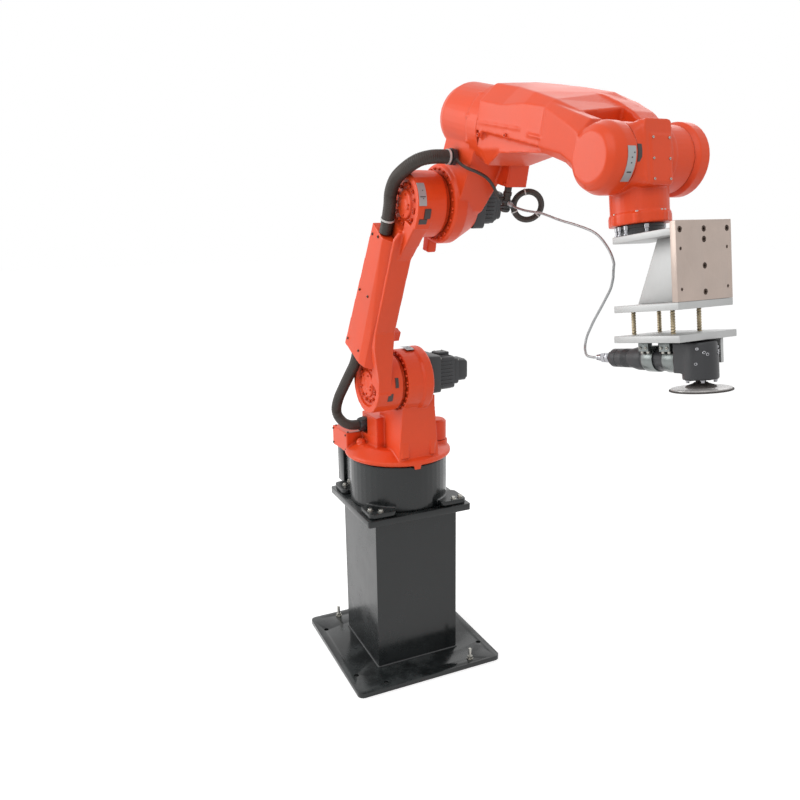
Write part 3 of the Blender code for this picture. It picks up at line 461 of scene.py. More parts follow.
def filled(name, fill):
    """An object whose shape a function adds."""
    shape = bmesh.new()
    fill(shape)
    return new_object(name, shape)


def piece(name, body, slot, fill, look=None, bevel=0.0, stands_for=(), sharp=38.0):
    """A mesh piece that a function fills, riding on a body."""
    made = filled(name, fill)
    if bevel:
        round_edges(made, bevel)
    dressed(made, slot, look, sharp)
    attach(made, body)
    if stands_for:
        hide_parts(*stands_for)
    return made


def round_edges(made, width):
    """Bevel a piece's sharp edges."""
    edges = made.modifiers.new("edges", "BEVEL")
    edges.width = width
    edges.segments = 2
    edges.limit_method = "ANGLE"
    edges.angle_limit = radians(35)
    settle(made)


def from_cad(name, node, cut):
    """A CAD node's closed shape, welded and with its flat faces whole, less what is cut out."""
    shape = bmesh.new()
    shape.from_mesh(frame["nodes"][node].data)
    bmesh.ops.remove_doubles(shape, verts=shape.verts, dist=0.00001)
    bmesh.ops.dissolve_limit(shape, angle_limit=radians(0.5), verts=shape.verts, edges=shape.edges)
    made = new_object(name, shape)
    if cut:
        tool = filled("tool", cut)
        change = made.modifiers.new("cut", "BOOLEAN")
        change.operation = "DIFFERENCE"
        change.solver = "EXACT"
        change.object = tool
        settle(made)
        bpy.data.objects.remove(tool)
    return made


def cast(name, body, node, voxel, rounds, faces, extra=None, cut=None, slot="orange_paint"):
    """A casting: a CAD node and its added forms fused, with a fillet wherever they meet."""
    made = from_cad(name, node, cut)
    if extra:
        shape = bmesh.new()
        shape.from_mesh(made.data)
        extra(shape)
        bmesh.ops.recalc_face_normals(shape, faces=shape.faces)
        shape.to_mesh(made.data)
        shape.free()
    fuse = made.modifiers.new("fuse", "REMESH")
    fuse.mode = "VOXEL"
    fuse.voxel_size = voxel
    soften = made.modifiers.new("soften", "SMOOTH")
    soften.factor = 0.5
    soften.iterations = rounds
    settle(made)
    thin = made.modifiers.new("thin", "DECIMATE")
    thin.ratio = min(1.0, faces / (2 * len(made.data.polygons)))
    settle(made)
    dressed(made, slot, sharp=0)
    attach(made, body)
    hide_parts(node)


def machined(name, body, slot, node, bevel, cut=None, look=None):
    """A machined part: a CAD node with its holes and broken edges."""
    made = from_cad(name, node, cut)
    round_edges(made, bevel)
    dressed(made, slot, look)
    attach(made, body)
    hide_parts(node)


def turned_piece(name, body, slot, rows, look=None, stands_for=(), bevel=0.0):
    """A piece of round solids, each row with its frame, its sides and its profile."""
    def fill(shape):
        for at, sides, profile in rows:
            add_turned(shape, at, profile, sides)
    return piece(name, body, slot, fill, look, bevel, stands_for)


def screw_piece(name, body, slot, look, *rows):
    """A piece of socket head screws, each row with its frames and the head's radius and height."""
    def fill(shape):
        for frames, radius, height in rows:
            for at in frames:
                add_cap_screw(shape, at, radius, height)
    piece(name, body, slot, fill, look)


STRIP_THICK = 0.001
MARK_LIFT = 0.0004
MARK_THICK = 0.0009


def scale_strip(name, body, at, radius, span, turn, width, marks):
    """A grey strip round an axis and the dark marks on it, each (start, low, high)."""
    def fill_strip(shape):
        add_band(shape, at, radius, radius + STRIP_THICK, *span, 20, *turn)

    def fill_marks(shape):
        inner = radius + MARK_LIFT
        for start, low, high in marks:
            add_band(shape, at, inner, inner + MARK_THICK, low, high, 2, start, start + width)

    piece(name, body, "bright_steel", fill_strip, "strip")
    piece(name + "_marks", body, "motor_black", fill_marks, "mark")


# Air hose, with its hexagonal coupling, knurled ring and sleeve

coupling = turned_piece("coupling_body", "elbow", "bright_steel", [
    (pointed(COUPLING, (0.01396, 0, 0), FRONT), 24, [
        (0.007, 0, 6), (0.007, 0.005, 6), (0.0056, 0.0055), (0.0056, 0.0065), (0.0068, 0.007),
        (0.0068, 0.0125), (0.0052, 0.013), (0.0052, 0.018), (0.0042, 0.02)])], "strip", ("hose_coupling",))
HOSE_RADIUS = 0.0034
BRAID_DIP = 0.97
BRAID_PITCH = 0.0035
HOSE_RUNS = {
    "hose_elbow_run": ("elbow", "forearm", (0.05, -0.001, -0.011), (0.2128, -0.0136, -0.0381), [
        (0, 0, 0), (0.0085, 0, -0.0029), (0.017, 0, -0.0058), (0.065, -0.002, -0.015),
        (0.1334, -0.005, -0.0225), (0.175, -0.009, -0.03), (0.2128, -0.0136, -0.0381),
        (0.2216, -0.0143, -0.0398), (0.2304, -0.015, -0.0415)]),
    "hose_free_run": ("forearm", "wrist", (0.3, -0.0205, -0.054), (0.4484, -0.025, -0.1435), [
        (0.2307, -0.015, -0.0416), (0.2393, -0.0157, -0.0433), (0.2481, -0.0164, -0.045),
        (0.3, -0.0205, -0.054), (0.3584, -0.025, -0.0665), (0.39, -0.025, -0.0795),
        (0.416, -0.025, -0.099), (0.437, -0.025, -0.122), (0.4484, -0.025, -0.1435),
        (0.4484, -0.025, -0.1525), (0.4484, -0.025, -0.1615)]),
    "hose_wrist_run": ("wrist", "tool", (0.442, -0.025, -0.205), (0.3754, -0.025, -0.313), [
        (0.4484, -0.025, -0.1618), (0.4484, -0.025, -0.1705), (0.4484, -0.025, -0.1795),
        (0.442, -0.025, -0.205), (0.426, -0.025, -0.232), (0.4084, -0.025, -0.2595),
        (0.39, -0.025, -0.287), (0.3754, -0.025, -0.313), (0.368, -0.027, -0.332),
        (0.37, -0.033, -0.35), (0.383, -0.044, -0.363), (0.401, -0.053, -0.373),
        (0.4233, -0.055, -0.3737), (0.4322, -0.055, -0.3725), (0.4412, -0.055, -0.3712)]),
}


for node, (first, second, start, end, points) in HOSE_RUNS.items():
    route = even_line(smooth_route(HOSE_MOUTH, points, 8), BRAID_PITCH)
    shape = bmesh.new()
    add_tube(shape, route, lambda number: HOSE_RADIUS * (1 if number % 2 else BRAID_DIP), 12)
    hose = new_object(node + "_braid", shape)
    dressed(hose, "braided_hose", sharp=0)
    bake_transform(hose)
    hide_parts(node)


# Pedestal

POST_HALF = 0.169
PLATE_TOP = 0.018


def fill_welds(shape):
    """Rippled beads at the foot and head of the post."""
    for height in (0.0195, 0.62):
        spots = [Vector((side * POST_HALF, end * POST_HALF, height)) for side, end in CORNERS]
        sides = [even_line(pair, 0.004)[:-1] for pair in zip(spots, spots[1:] + spots[:1])]
        line = [spot for side in sides for spot in side]
        add_tube(shape, line, lambda number: 0.0042 + 0.0006 * sin(number * 1.9), 8, True)


def fill_floor_studs(shape):
    """Anchor studs with their nuts and washers."""
    for side in (-1, 1):
        at = shifted(GROUND, (side * 0.267, side * 0.18, PLATE_TOP))
        add_turned(shape, at, [(0.0125, 0), (0.0125, 0.002)])
        add_turned(shape, at, [(0.0105, 0.002, 6), (0.0105, 0.0105, 6), (0.0092, 0.0112)])
        add_thread(shape, at, 0.006, 0.0005, 0.0025, 0.01, 0.043)


def fill_foot_bolts(shape):
    """Bolts that hold the robot's foot to the top plate."""
    for spot in ((-0.145, -0.172), (0.173, 0.182), (0.182, 0.15), (0.153, -0.182), (-0.153, 0.172),
                 (-0.178, -0.14), (0.178, -0.15), (-0.178, 0.14)):
        add_hex_bolt(shape, shifted(GROUND, (*spot, 0.666)), 0.0085, 0.009)


def fill_ports(shape):
    """Two cable connectors with their locking rings."""
    for across in (0.0855, 0.0195):
        at = pointed(GROUND, (-0.285, across, 0.7349), REAR)
        add_box(shape, at, (-0.026, -0.026, 0.0003), (0.026, 0.026, 0.006))
        add_turned(shape, at, [(0.0205, 0.006), (0.0205, 0.012), (0.0175, 0.013), (0.0175, 0.017),
                               (0.021, 0.018, 12), (0.021, 0.03, 12), (0.0175, 0.034), (0.012, 0.035)], 36)


for name, node, bevel in (("plate_edges", "base_plate", 0.0015), ("cap_edges", "pedestal_top_plate", 0.0015),
                          ("box_edges", "connector_box", 0.003)):
    machined(name, "pedestal", "black_paint", node, bevel)
piece("post_welds", "pedestal", "black_paint", fill_welds, "weld", sharp=0)
piece("anchor_studs", "pedestal", "bright_steel", fill_floor_studs, "zinc")
piece("foot_bolts", "pedestal", "bright_steel", fill_foot_bolts, "zinc")
cast("base_casting", "pedestal", "robot_base", 0.003, 3, 22000, slot="black_paint")
screw_piece("box_screws", "pedestal", "bright_steel", "zinc",
            (faced(GROUND, REAR, product((-0.285,), (-0.135, 0.135), (0.662, 0.78))), 0.005, 0.005))
piece("port_shells", "pedestal", "motor_black", fill_ports, bevel=0.0006,
      stands_for=("supply_connector", "signal_connector"))


# Turntable

def add_turntable_forms(shape):
    """Domes, bosses, ribs and the stop tab of the turntable casting."""
    add_dome(shape, shifted(TURN, (-0.036, -0.139, 0.876)), 0.02, 0.017)
    add_dome(shape, shifted(TURN, (0.125, 0.083, 0.872)), 0.02, 0.017)
    add_box(shape, TURN, (-0.022, -0.119, 0.868), (0.062, -0.07, 0.989))
    add_box(shape, TURN, (0.196, -0.034, 0.816), (0.205, -0.008, 0.834))
    add_box(shape, TURN, (0.176, -0.078, 0.86), (0.19, -0.05, 1.02))
    add_box(shape, TURN, (0.176, 0.04, 0.86), (0.19, 0.06, 0.96))
    for at in faced(TURN, FRONT, ((0.182, -0.004, 0.905), (0.182, -0.004, 1.01))):
        add_turned(shape, at, [(0.012, -0.02), (0.012, 0.004)])


cast("turntable_casting", "turntable", "turntable", 0.0026, 5, 60000, add_turntable_forms)
cast("turn_cover_shell", "turntable", "turn_motor_cover", 0.0016, 3, 8000)

# Bolts round the shoulder drum, and screws on the tail box's side and top
DRUM_FACE = pointed(TURN, (SHOULDER[0], -0.085, SHOULDER[2]), NEAR)
screw_piece("turntable_bolts", "turntable", "orange_paint", None,
            (circle_of(DRUM_FACE, 0.1045, 28, 6), 0.0042, 0.0062))
screw_piece("tail_screws", "turntable", "orange_paint", "oxide",
            (faced(TURN, NEAR, product((-0.198, -0.076), (-0.187,), (0.842, 0.9))), 0.0038, 0.0035),
            (faced(TURN, UP, ((-0.196, -0.176, 0.91), (-0.196, -0.034, 0.91), (-0.078, -0.176, 0.91))),
             0.0038, 0.003))


# Motors

def add_motor(shape, at, flange, body, neck, cap):
    """Servo motor along Z: flange, ribbed body, neck and connector cap, each (half, length)."""
    def add_block(half, corner, low, high):
        add_prism(shape, at, rounded(half, corner), low, high)
    half, length = body
    foot = flange[1]
    add_block(flange[0], 0.012, 0, foot)
    add_block(half * 0.96, 0.014, foot - 0.001, foot + length - 0.001)
    for side in (-1, 1):
        low, high = sorted((side * half * 0.9, side * half))
        for step in range(-3, 4):
            spot = step * half * 0.22
            add_box(shape, at, (spot - 0.0028, low, foot), (spot + 0.0028, high, foot + length - 0.008))
            add_box(shape, at, (low, spot - 0.0028, foot), (high, spot + 0.0028, foot + length - 0.008))
    height = foot + length
    add_block(neck[0], 0.016, height - 0.0008, height + neck[1])
    height += neck[1]
    add_block(cap[0], 0.014, height - 0.001, height + cap[1] * 0.82)
    add_block(cap[0] * 0.86, 0.012, height, height + cap[1])


SHOULDER_MOTOR = pointed(TURN, (0.15, 0.0173, 1.165), (0, 1, 0))
ELBOW_MOTOR = pointed(ELBOW, (0, 0.0203, 0), (0, 1, 0))


def fill_shoulder_motor(shape):
    """Motor of the lower arm, with a connector block on top."""
    add_motor(shape, SHOULDER_MOTOR, (0.068, 0.053), (0.062, 0.063), (0.049, 0.023), (0.04, 0.046))
    add_box(shape, TURN, (0.128, 0.082, 1.222), (0.172, 0.13, 1.236))


def fill_elbow_motor(shape):
    """Motor of the elbow."""
    add_motor(shape, ELBOW_MOTOR, (0.064, 0.0397), (0.054, 0.045), (0.047, 0.01), (0.042, 0.02))


piece("shoulder_motor_shell", "turntable", "motor_black", fill_shoulder_motor, bevel=0.0014,
      stands_for=("shoulder_motor", "shoulder_motor_cap"))
piece("elbow_motor_shell", "elbow", "motor_black", fill_elbow_motor, bevel=0.0014,
      stands_for=("elbow_motor", "elbow_motor_cap"))
screw_piece("shoulder_motor_screws", "turntable", "bright_steel", "zinc",
            (square_of(SHOULDER_MOTOR, 0.056, 0.0525), 0.0055, 0.0055),
            (square_of(SHOULDER_MOTOR, 0.04, 0.1385), 0.0035, 0.0035),
            (square_of(SHOULDER_MOTOR, 0.027, 0.1845), 0.003, 0.003),
            (faced(TURN, UP, product((0.134, 0.166), (0.09, 0.122), (1.236,))), 0.0028, 0.002))
screw_piece("elbow_motor_screws", "elbow", "bright_steel", "zinc",
            (square_of(ELBOW_MOTOR, 0.053, 0.0392), 0.005, 0.005),
            (square_of(ELBOW_MOTOR, 0.039, 0.0942), 0.0032, 0.0032))


# Lower arm

ARM_SIDE = 0.198
FOOT_RIM = 0.104
HEAD_RIM = 0.098
FOOT_FACE = pointed(LOWER, (0, -ARM_SIDE, 0), NEAR)
HEAD_FACE = pointed(ARM_TOP, (0, -ARM_SIDE, 0), NEAR)


def cut_lower_arm(shape):
    """Pockets in the arm's outer face, its tangent waist and a groove round each reducer."""
    for face, radius in ((FOOT_FACE, 0.078), (HEAD_FACE, 0.074)):
        add_turned(shape, face, [(radius, -0.012), (radius + 0.004, 0.004)], 48)
    flat = sideways(LOWER)
    add_prism(shape, flat, [(0.0372, 0.24), (0.0997, 0.0295), (0.13, 0.0295), (0.13, 0.24)], 0.1495, 0.205)
    add_prism(shape, flat, [(0.0372, 0.5), (0.13, 0.5), (0.13, 0.6396), (0.0914, 0.6396)], 0.1495, 0.205)
    for base, radius, depth in ((LOWER, 0.094, 0.022), (ARM_TOP, 0.09, 0.02)):
        add_band(shape, pointed(base, (0, -0.08, 0), NEAR), radius, 0.125, 0, depth, 64)


def add_arm_forms(shape):
    """Hubs in the arm's pockets, and the wedges and front strip that make its waist."""
    for face, radius in ((FOOT_FACE, 0.046), (HEAD_FACE, 0.043)):
        add_turned(shape, face, [(radius, -0.02), (radius, -0.005), (radius - 0.004, -0.002)], 40)
        add_turned(shape, face, [(0.016, -0.02), (0.016, 0.0)], 24)
    flat = sideways(LOWER)
    add_prism(shape, flat, [(0.03, 0.03), (0.0988, 0.03), (0.0365, 0.24), (0.03, 0.24)], 0.1502, 0.1978)
    add_prism(shape, flat, [(0.03, 0.5), (0.0365, 0.5), (0.0905, 0.639), (0.03, 0.639)], 0.1502, 0.1978)
    spans = ((0.06, 0.197, 0.091), (0.095, 0.203, 0.0805), (0.13, 0.212, 0.0705), (0.18, 0.2215, 0.0555),
             (0.24, 0.2225, 0.0392), (0.575, 0.2225, 0.0392), (0.6, 0.208, 0.0392))
    add_rings(shape, [[LOWER @ Vector(spot) for spot in ((0.025, -0.151, height), (front, -0.151, height),
                                                         (front, -side, height), (0.025, -side, height))]
                      for height, side, front in spans])


def cut_arm_cover(shape):
    """Slanted front side of the conduit cover."""
    outline = [(-0.014, -0.239), (-0.014, -0.26), (0.06, -0.26), (0.06, -0.18), (0.0375, -0.18),
               (0.0375, -0.2225)]
    add_prism(shape, LOWER, outline, -0.05, 0.8)


def fill_dark_tags(shape):
    """Small dark tags on the arm's rims."""
    for base, radius, marks in ((LOWER, FOOT_RIM, ((25, 44, 0.121, 0.133), (-2, 14, 0.141, 0.16))),
                                (ARM_TOP, HEAD_RIM, ((0, 17, 0.156, 0.176), (-18, -1, 0.164, 0.19)))):
        for start, end, low, high in marks:
            add_band(shape, sideways(base), radius - 0.0004, radius + 0.0018, low, high, 6, start, end)


cast("arm_casting", "lower_arm", "lower_arm", 0.0025, 5, 50000, add_arm_forms, cut_lower_arm)
cast("arm_cover_shell", "lower_arm", "lower_arm_cover", 0.0025, 3, 14000, cut=cut_arm_cover)
cast("arm_stop_lug", "lower_arm", "stop_lug", 0.0012, 3, 5000)

# Bolt rings in the arm's pockets and round its hubs, and screws of the conduit cover
RINGS = ((FOOT_FACE, 0.062), (HEAD_FACE, 0.058))
screw_piece("arm_bolts", "lower_arm", "orange_paint", None,
            *[(circle_of(shifted(face, (0, 0, -0.012)), radius, 14, 8), 0.0056, 0.008)
              for face, radius in RINGS],
            *[(circle_of(shifted(face, (0, 0, -0.0022)), radius - 0.026, 6, 20), 0.0038, 0.004)
              for face, radius in RINGS])
COVER_SPOTS = [(-0.118, -0.238, 0.12), (-0.095, -0.238, 0.33), (-0.078, -0.238, 0.54)]
COVER_SPOTS += [(-0.022 - height * 0.03, -0.238, height) for height in (0.13, 0.34, 0.55)]
screw_piece("cover_screws", "lower_arm", "orange_paint", "oxide",
            (faced(LOWER, NEAR, COVER_SPOTS), 0.0042, 0.003))
piece("arm_tags", "lower_arm", "motor_black", fill_dark_tags, "tag")
scale_strip("arm_strip", "lower_arm", sideways(ARM_TOP), HEAD_RIM - 0.0004, (0.171, 0.1955), (22, 62), 1.6,
            ((33, 0.18, 0.183), (36, 0.174, 0.192), (47, 0.18, 0.183)))
scale_strip("drum_strip", "turntable", sideways(TURN, SHOULDER), 0.1176, (0.022, 0.052), (72, 96), 1.5,
            ((79, 0.027, 0.047), (84, 0.036, 0.039), (88, 0.03, 0.033)))


# Elbow

def add_elbow_forms(shape):
    """Bosses of the roll housing's bolts."""
    for at in circle_of(pointed(ELBOW, (0.1415, 0, ROLL_RISE), FRONT), 0.099, 10, 18):
        add_turned(shape, at, [(0.0075, -0.01), (0.0075, 0.012)], 12)

# Bolts round the elbow's reducer, on the roll housing and on the roll box
cast("elbow_casting", "elbow", "elbow_housing", 0.0026, 5, 60000, add_elbow_forms)
screw_piece("elbow_bolts", "elbow", "orange_paint", None,
            (circle_of(pointed(ELBOW, (0, -0.085, 0), NEAR), 0.1035, 26, 5), 0.004, 0.0055),
            (circle_of(pointed(ELBOW, (0.1535, 0, ROLL_RISE), FRONT), 0.1, 10, 18), 0.0048, 0.005),
            (faced(ELBOW, NEAR, product((0.1, 0.18), (0.03,), (0.098, 0.158))), 0.004, 0.004))


# Forearm and wrist

FOREARM_BOSSES = ((0.348, -0.004), (0.226, -0.02))


def add_forearm_forms(shape):
    """Far cheek of the fork, raised ribs on the near side and bosses."""
    flat = sideways(ROLL)
    add_prism(shape, flat, [(0.44, -0.02), (0.5, -0.02), (0.59, 0.002), (0.6, 0.03), (0.617, 0.052),
                            (0.638, 0.066), (0.644, 0.076), (0.612, 0.0915), (0.56, 0.106), (0.5, 0.1165),
                            (0.44, 0.1175)], -0.1065, -0.037)
    for line in (((0.212, 0.01), (0.4, 0.018)), ((0.432, 0.01), (0.503, 0.01), (0.532, -0.012))):
        route = even_line([flat @ Vector((*spot, 0.1105)) for spot in line], 0.004)
        add_tube(shape, route, 0.0028, 10)
    for spot in FOREARM_BOSSES:
        add_turned(shape, shifted(flat, (*spot, 0)), [(0.0085, 0.1), (0.008, 0.1125)], 16)


def add_wrist_forms(shape):
    """Cover plate on the wrist's front, its slanted cheek and lobes round its collar."""
    add_box(shape, WRIST, (0.07, -0.04, -0.064), (0.08, 0.0185, 0.033))
    rings = []
    for along, boxy in ((-0.0738, 0.0), (-0.064, 0.45), (-0.052, 1.0), (0.01, 1.0)):
        ring = []
        for step in range(72):
            angle = radians(5 * step)
            across, rise = cos(angle), sin(angle)
            reach = 0.0752
            if across > 0.05:
                reach += boxy * (min(0.077 / across, 0.066 / max(abs(rise), 0.01), 0.095) - 0.0752)
            ring.append(WRIST @ Vector((reach * across, along, reach * rise)))
        rings.append(ring)
    add_rings(shape, rings)
    for at in circle_of(shifted(TOOL, (0, 0, 0.0235)), 0.06, 8, 9):
        add_turned(shape, at, [(0.0105, 0), (0.0105, 0.0215)], 16)


def fill_wrist_tag(shape):
    """Dark tag on the wrist's drum."""
    add_band(shape, sideways(WRIST), 0.0757, 0.0767, 0.0625, 0.0735, 8, -17, 10)


cast("forearm_casting", "forearm", "forearm", 0.0026, 12, 70000, add_forearm_forms)
cast("rim_shell", "wrist", "flange_motor_cover", 0.0018, 3, 16000)
cast("wrist_casting", "wrist", "wrist_body", 0.0022, 5, 60000, add_wrist_forms)
piece("wrist_tag", "wrist", "motor_black", fill_wrist_tag, "tag")
scale_strip("fork_strip", "forearm", sideways(ROLL, (WRIST_REACH, 0, 0)), 0.0777, (0.081, 0.103),
            (-27, 28), 2, ((-12, 0.086, 0.098), (2, 0.09, 0.093), (10, 0.09, 0.093), (17, 0.084, 0.087)))

# Screws on the forearm's bosses and end, and on the wrist's cover plate and collar
screw_piece("forearm_screws", "forearm", "orange_paint", None,
            ([shifted(sideways(ROLL), (*spot, 0.112)) for spot in FOREARM_BOSSES], 0.005, 0.005),
            (circle_of(pointed(ROLL, (0.205, 0, 0), FRONT), 0.078, 12, 15, 375.0), 0.0035, 0.0035))
screw_piece("wrist_screws", "wrist", "orange_paint", "zinc",
            (faced(WRIST, FRONT, product((0.0798,), (-0.034, 0.0125), (-0.058, -0.016, 0.027))),
             0.0026, 0.0022),
            (circle_of(shifted(TOOL, (0, 0, 0.0448)), 0.0625, 8, 9), 0.0042, 0.0045))


# Conduits and cables

RIB_PITCH = 0.0052
RIB_DEPTH = 0.0016


def ribbed_run(name, node, place, points, radius):
    """Ribbed conduit along a route."""
    route = even_line(smooth_route(place, points, 10), RIB_PITCH / 4)
    shape = bmesh.new()
    add_tube(shape, route, lambda number: radius - RIB_DEPTH * (0, 0.6, 1, 0.6)[number % 4], 24)
    made = dressed(new_object(name, shape), "black_rubber", sharp=0)
    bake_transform(made)
    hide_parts(node)


LOWER_ROUTE = [
    (0, 0, 0), (0, -0.0137, 0), (0, -0.0277, 0), (-0.001, -0.0527, 0.003), (-0.012, -0.0757, 0.015),
    (-0.029, -0.0897, 0.038), (-0.03, -0.0947, 0.068), (0.002, -0.0967, 0.116), (0.056, -0.0982, 0.169),
    (0.1145, -0.0992, 0.224), (0.1605, -0.0992, 0.268), (0.1811, -0.0992, 0.2943), (0.1864, -0.0992, 0.305),
    (0.1917, -0.0992, 0.3155)]
UPPER_ROUTE = [
    (-0.034, -0.2185, -0.1083), (-0.034, -0.2185, -0.098), (-0.034, -0.2185, -0.088),
    (-0.038, -0.219, -0.028), (-0.046, -0.22, 0.014), (-0.033, -0.22, 0.063), (0.006, -0.216, 0.112),
    (0.03, -0.196, 0.146), (0.039, -0.166, 0.16), (0.04, -0.135, 0.163), (0.04, -0.118, 0.163),
    (0.04, -0.1003, 0.163)]
THIN_ROUTE = [
    (0.0995, -0.092, 0.148), (0.1055, -0.092, 0.146), (0.113, -0.092, 0.143), (0.132, -0.092, 0.138),
    (0.154, -0.086, 0.133), (0.171, -0.064, 0.126), (0.178, -0.034, 0.112), (0.177, -0.006, 0.088),
    (0.171, 0.015, 0.063), (0.166, 0.028, 0.0525), (0.165, 0.0345, 0.052), (0.165, 0.0416, 0.052)]
ribbed_run("lower_conduit_ribs", "lower_conduit", GLAND, LOWER_ROUTE, 0.0195)
ribbed_run("upper_conduit_ribs", "upper_conduit", ARM_TOP, UPPER_ROUTE, 0.02)

# The conduits' glands, the cable's boot and the frame of its loop
turned_piece("gland_nut", "turntable", "motor_black", [
    (sideways(GLAND), 48, [(0.03, -0.0137, 6), (0.03, -0.006, 6), (0.0275, -0.005), (0.0275, 0.0),
                           (0.0285, 0.001, 8), (0.0285, 0.01, 8), (0.0245, 0.016), (0.0205, 0.018)])],
    stands_for=("conduit_gland",))
turned_piece("elbow_gland_nut", "elbow", "motor_black", [
    (sideways(ELBOW, (0.074, 0, 0.151)), 48, [(0.025, 0.0853, 6), (0.025, 0.093, 6), (0.0235, 0.0935),
                                              (0.0235, 0.0995)])], stands_for=("elbow_gland",))
turned_piece("cable_boot", "elbow", "black_rubber", [
    (shifted(ELBOW, (*BOOT_SPOT, 0)), 24, [
        (0.0095, 0.013), (0.0125, 0.015), (0.0125, 0.019), (0.0112, 0.02), (0.0112, 0.06),
        (0.0128, 0.0615), (0.0128, 0.07), (0.0105, 0.072), (0.0105, 0.0877)])], stands_for=("cable_sleeve",))
LOOP = spun(shifted(ELBOW, (*BOOT_SPOT, 0.037)), 62.7)
LOOP_MIDDLE = 0.0638
LOOP_RADIUS = 0.0405


def fill_thin_cable(shape):
    """Thin cable from the elbow's side to the boot."""
    add_tube(shape, smooth_route(ELBOW, THIN_ROUTE, 8), 0.0045, 12)


def fill_loop(shape):
    """Cable wound in a loop of four turns."""
    for out, across in ((-0.0042, 0.0), (0.0042, 0.0), (0, -0.0046), (0, 0.0046)):
        reach = LOOP_RADIUS + out
        turns = [2 * pi * step / 64 for step in range(64)]
        line = [LOOP @ Vector((LOOP_MIDDLE + reach * cos(turn), across, reach * sin(turn))) for turn in turns]
        add_tube(shape, line, 0.0047, 10, True)


def fill_loop_clamp(shape):
    """Clip between the boot and the loop, with two rings."""
    for low, high in ((-0.011, -0.005), (0.004, 0.01)):
        add_box(shape, LOOP, (-0.0125, -0.013, low), (0.024, 0.013, high))
    for height in (0.018, 0.028):
        add_turned(shape, shifted(ELBOW, (*BOOT_SPOT, height)),
                   [(0.0136, 0), (0.0145, 0.001), (0.0145, 0.004), (0.0136, 0.005)], 20)


def fill_loop_ties(shape):
    """Pale ties round the loop."""
    for angle in (35, 150, 250):
        at = shifted(shifted(LOOP, (LOOP_MIDDLE, 0, 0), angle), (LOOP_RADIUS, 0, 0))
        add_band(shape, at, 0.0088, 0.01, -0.0018, 0.0018, 24)


def conduit_tie(name, body, at):
    """Pale tie round the upper conduit."""
    def fill(shape):
        add_band(shape, at, 0.0195, 0.0216, -0.003, 0.003, 32)
    piece(name, body, "black_rubber", fill, "tie")


piece("thin_cable_run", "elbow", "black_rubber", fill_thin_cable, sharp=0, stands_for=("thin_cable",))
piece("cable_turns", "elbow", "black_rubber", fill_loop, sharp=0, stands_for=("cable_loop",))
piece("cable_clamp", "elbow", "motor_black", fill_loop_clamp)
piece("cable_loop_ties", "elbow", "black_rubber", fill_loop_ties, "tie")
conduit_tie("conduit_ties", "lower_arm", shifted(ARM_TOP, (-0.0355, -0.2187, -0.066)))
conduit_tie("elbow_conduit_tie", "elbow", sideways(ARM_TOP, (0.04, -0.108, 0.163)))


# Tool

PLATE_FACE = 0.172
PLATE_BOLTS = ((-0.068, -0.008), (0.068, -0.008), (0, -0.008), (0, -0.029), (0, -0.082), (0, -0.135))


def cut_counterbores(shape):
    """Holes in the front plate."""
    for spot in PLATE_BOLTS:
        add_turned(shape, pointed(TOOL, (PLATE_FACE, *spot), FRONT), [(0.0062, -0.006), (0.0062, 0.003)])
    for at in faced(TOOL, FRONT, product((PLATE_FACE,), (-0.067, 0.067), (-0.046, -0.127))):
        add_turned(shape, at, [(0.0034, -0.01), (0.0034, 0.003)])


def fill_rods(shape):
    """Threaded spacer rods."""
    for across, along in product((0.008, 0.119), (-0.039, 0.039)):
        add_thread(shape, shifted(TOOL, (across, along, 0)), 0.0055, 0.0017, 0.0058, -0.2177, -0.1673)


for name, node, bevel in (("top_plate_edges", "bracket_top_plate", 0.0012),
                          ("gusset_edges", "bracket_gusset", 0.0008),
                          ("middle_plate_edges", "middle_plate", 0.001),
                          ("lower_plate_edges", "lower_plate", 0.0012),
                          ("side_plate_edges", "grinder_side_plate", 0.0008)):
    machined(name, "tool", "aluminium", node, bevel)
machined("front_plate_edges", "tool", "aluminium", "bracket_front_plate", 0.0008, cut_counterbores,
         "front_aluminium")
screw_piece("front_plate_screws", "tool", "bright_steel", "oxide",
            (faced(TOOL, FRONT, [(0.1662, *spot) for spot in PLATE_BOLTS]), 0.005, 0.0052))
piece("rod_threads", "tool", "yellow_zinc", fill_rods,
      stands_for=("spacer_rod_1", "spacer_rod_2", "spacer_rod_3", "spacer_rod_4"))


# Grinder

GRINDER = pointed(TOOL, (0, 0, -0.275), FRONT)
HEAD_AT = shifted(TOOL, (SPINDLE_REACH, 0, 0))
CLAMPS = (0.03, 0.09)
CLAMP_BOLTS = [(middle + along, side) for middle in CLAMPS for side in (-1, 1) for along in (-0.0085, 0.0085)]

# Grinder body with a ribbed grip, a seam and a collar
GRIP = [(0.0222 if step % 4 < 2 else 0.0212, -0.06 + step * 0.00105) for step in range(22)]
turned_piece("grinder_shell", "tool", "motor_black", [(GRINDER, 40, [
    (0.0165, -0.108, 6), (0.0165, -0.099, 6), (0.0205, -0.098), (0.0218, -0.096), (0.0218, -0.08),
    (0.0208, -0.0795), (0.0208, -0.078), (0.022, -0.0775), (0.022, -0.062), *GRIP, (0.0222, -0.0365),
    (0.0268, -0.015), (0.0268, 0.006), (0.026, 0.0065), (0.026, 0.008), (0.0268, 0.0085), (0.0268, 0.1),
    (0.0285, 0.103), (0.0285, 0.111)])], stands_for=("grinder_body",), bevel=0.0003)

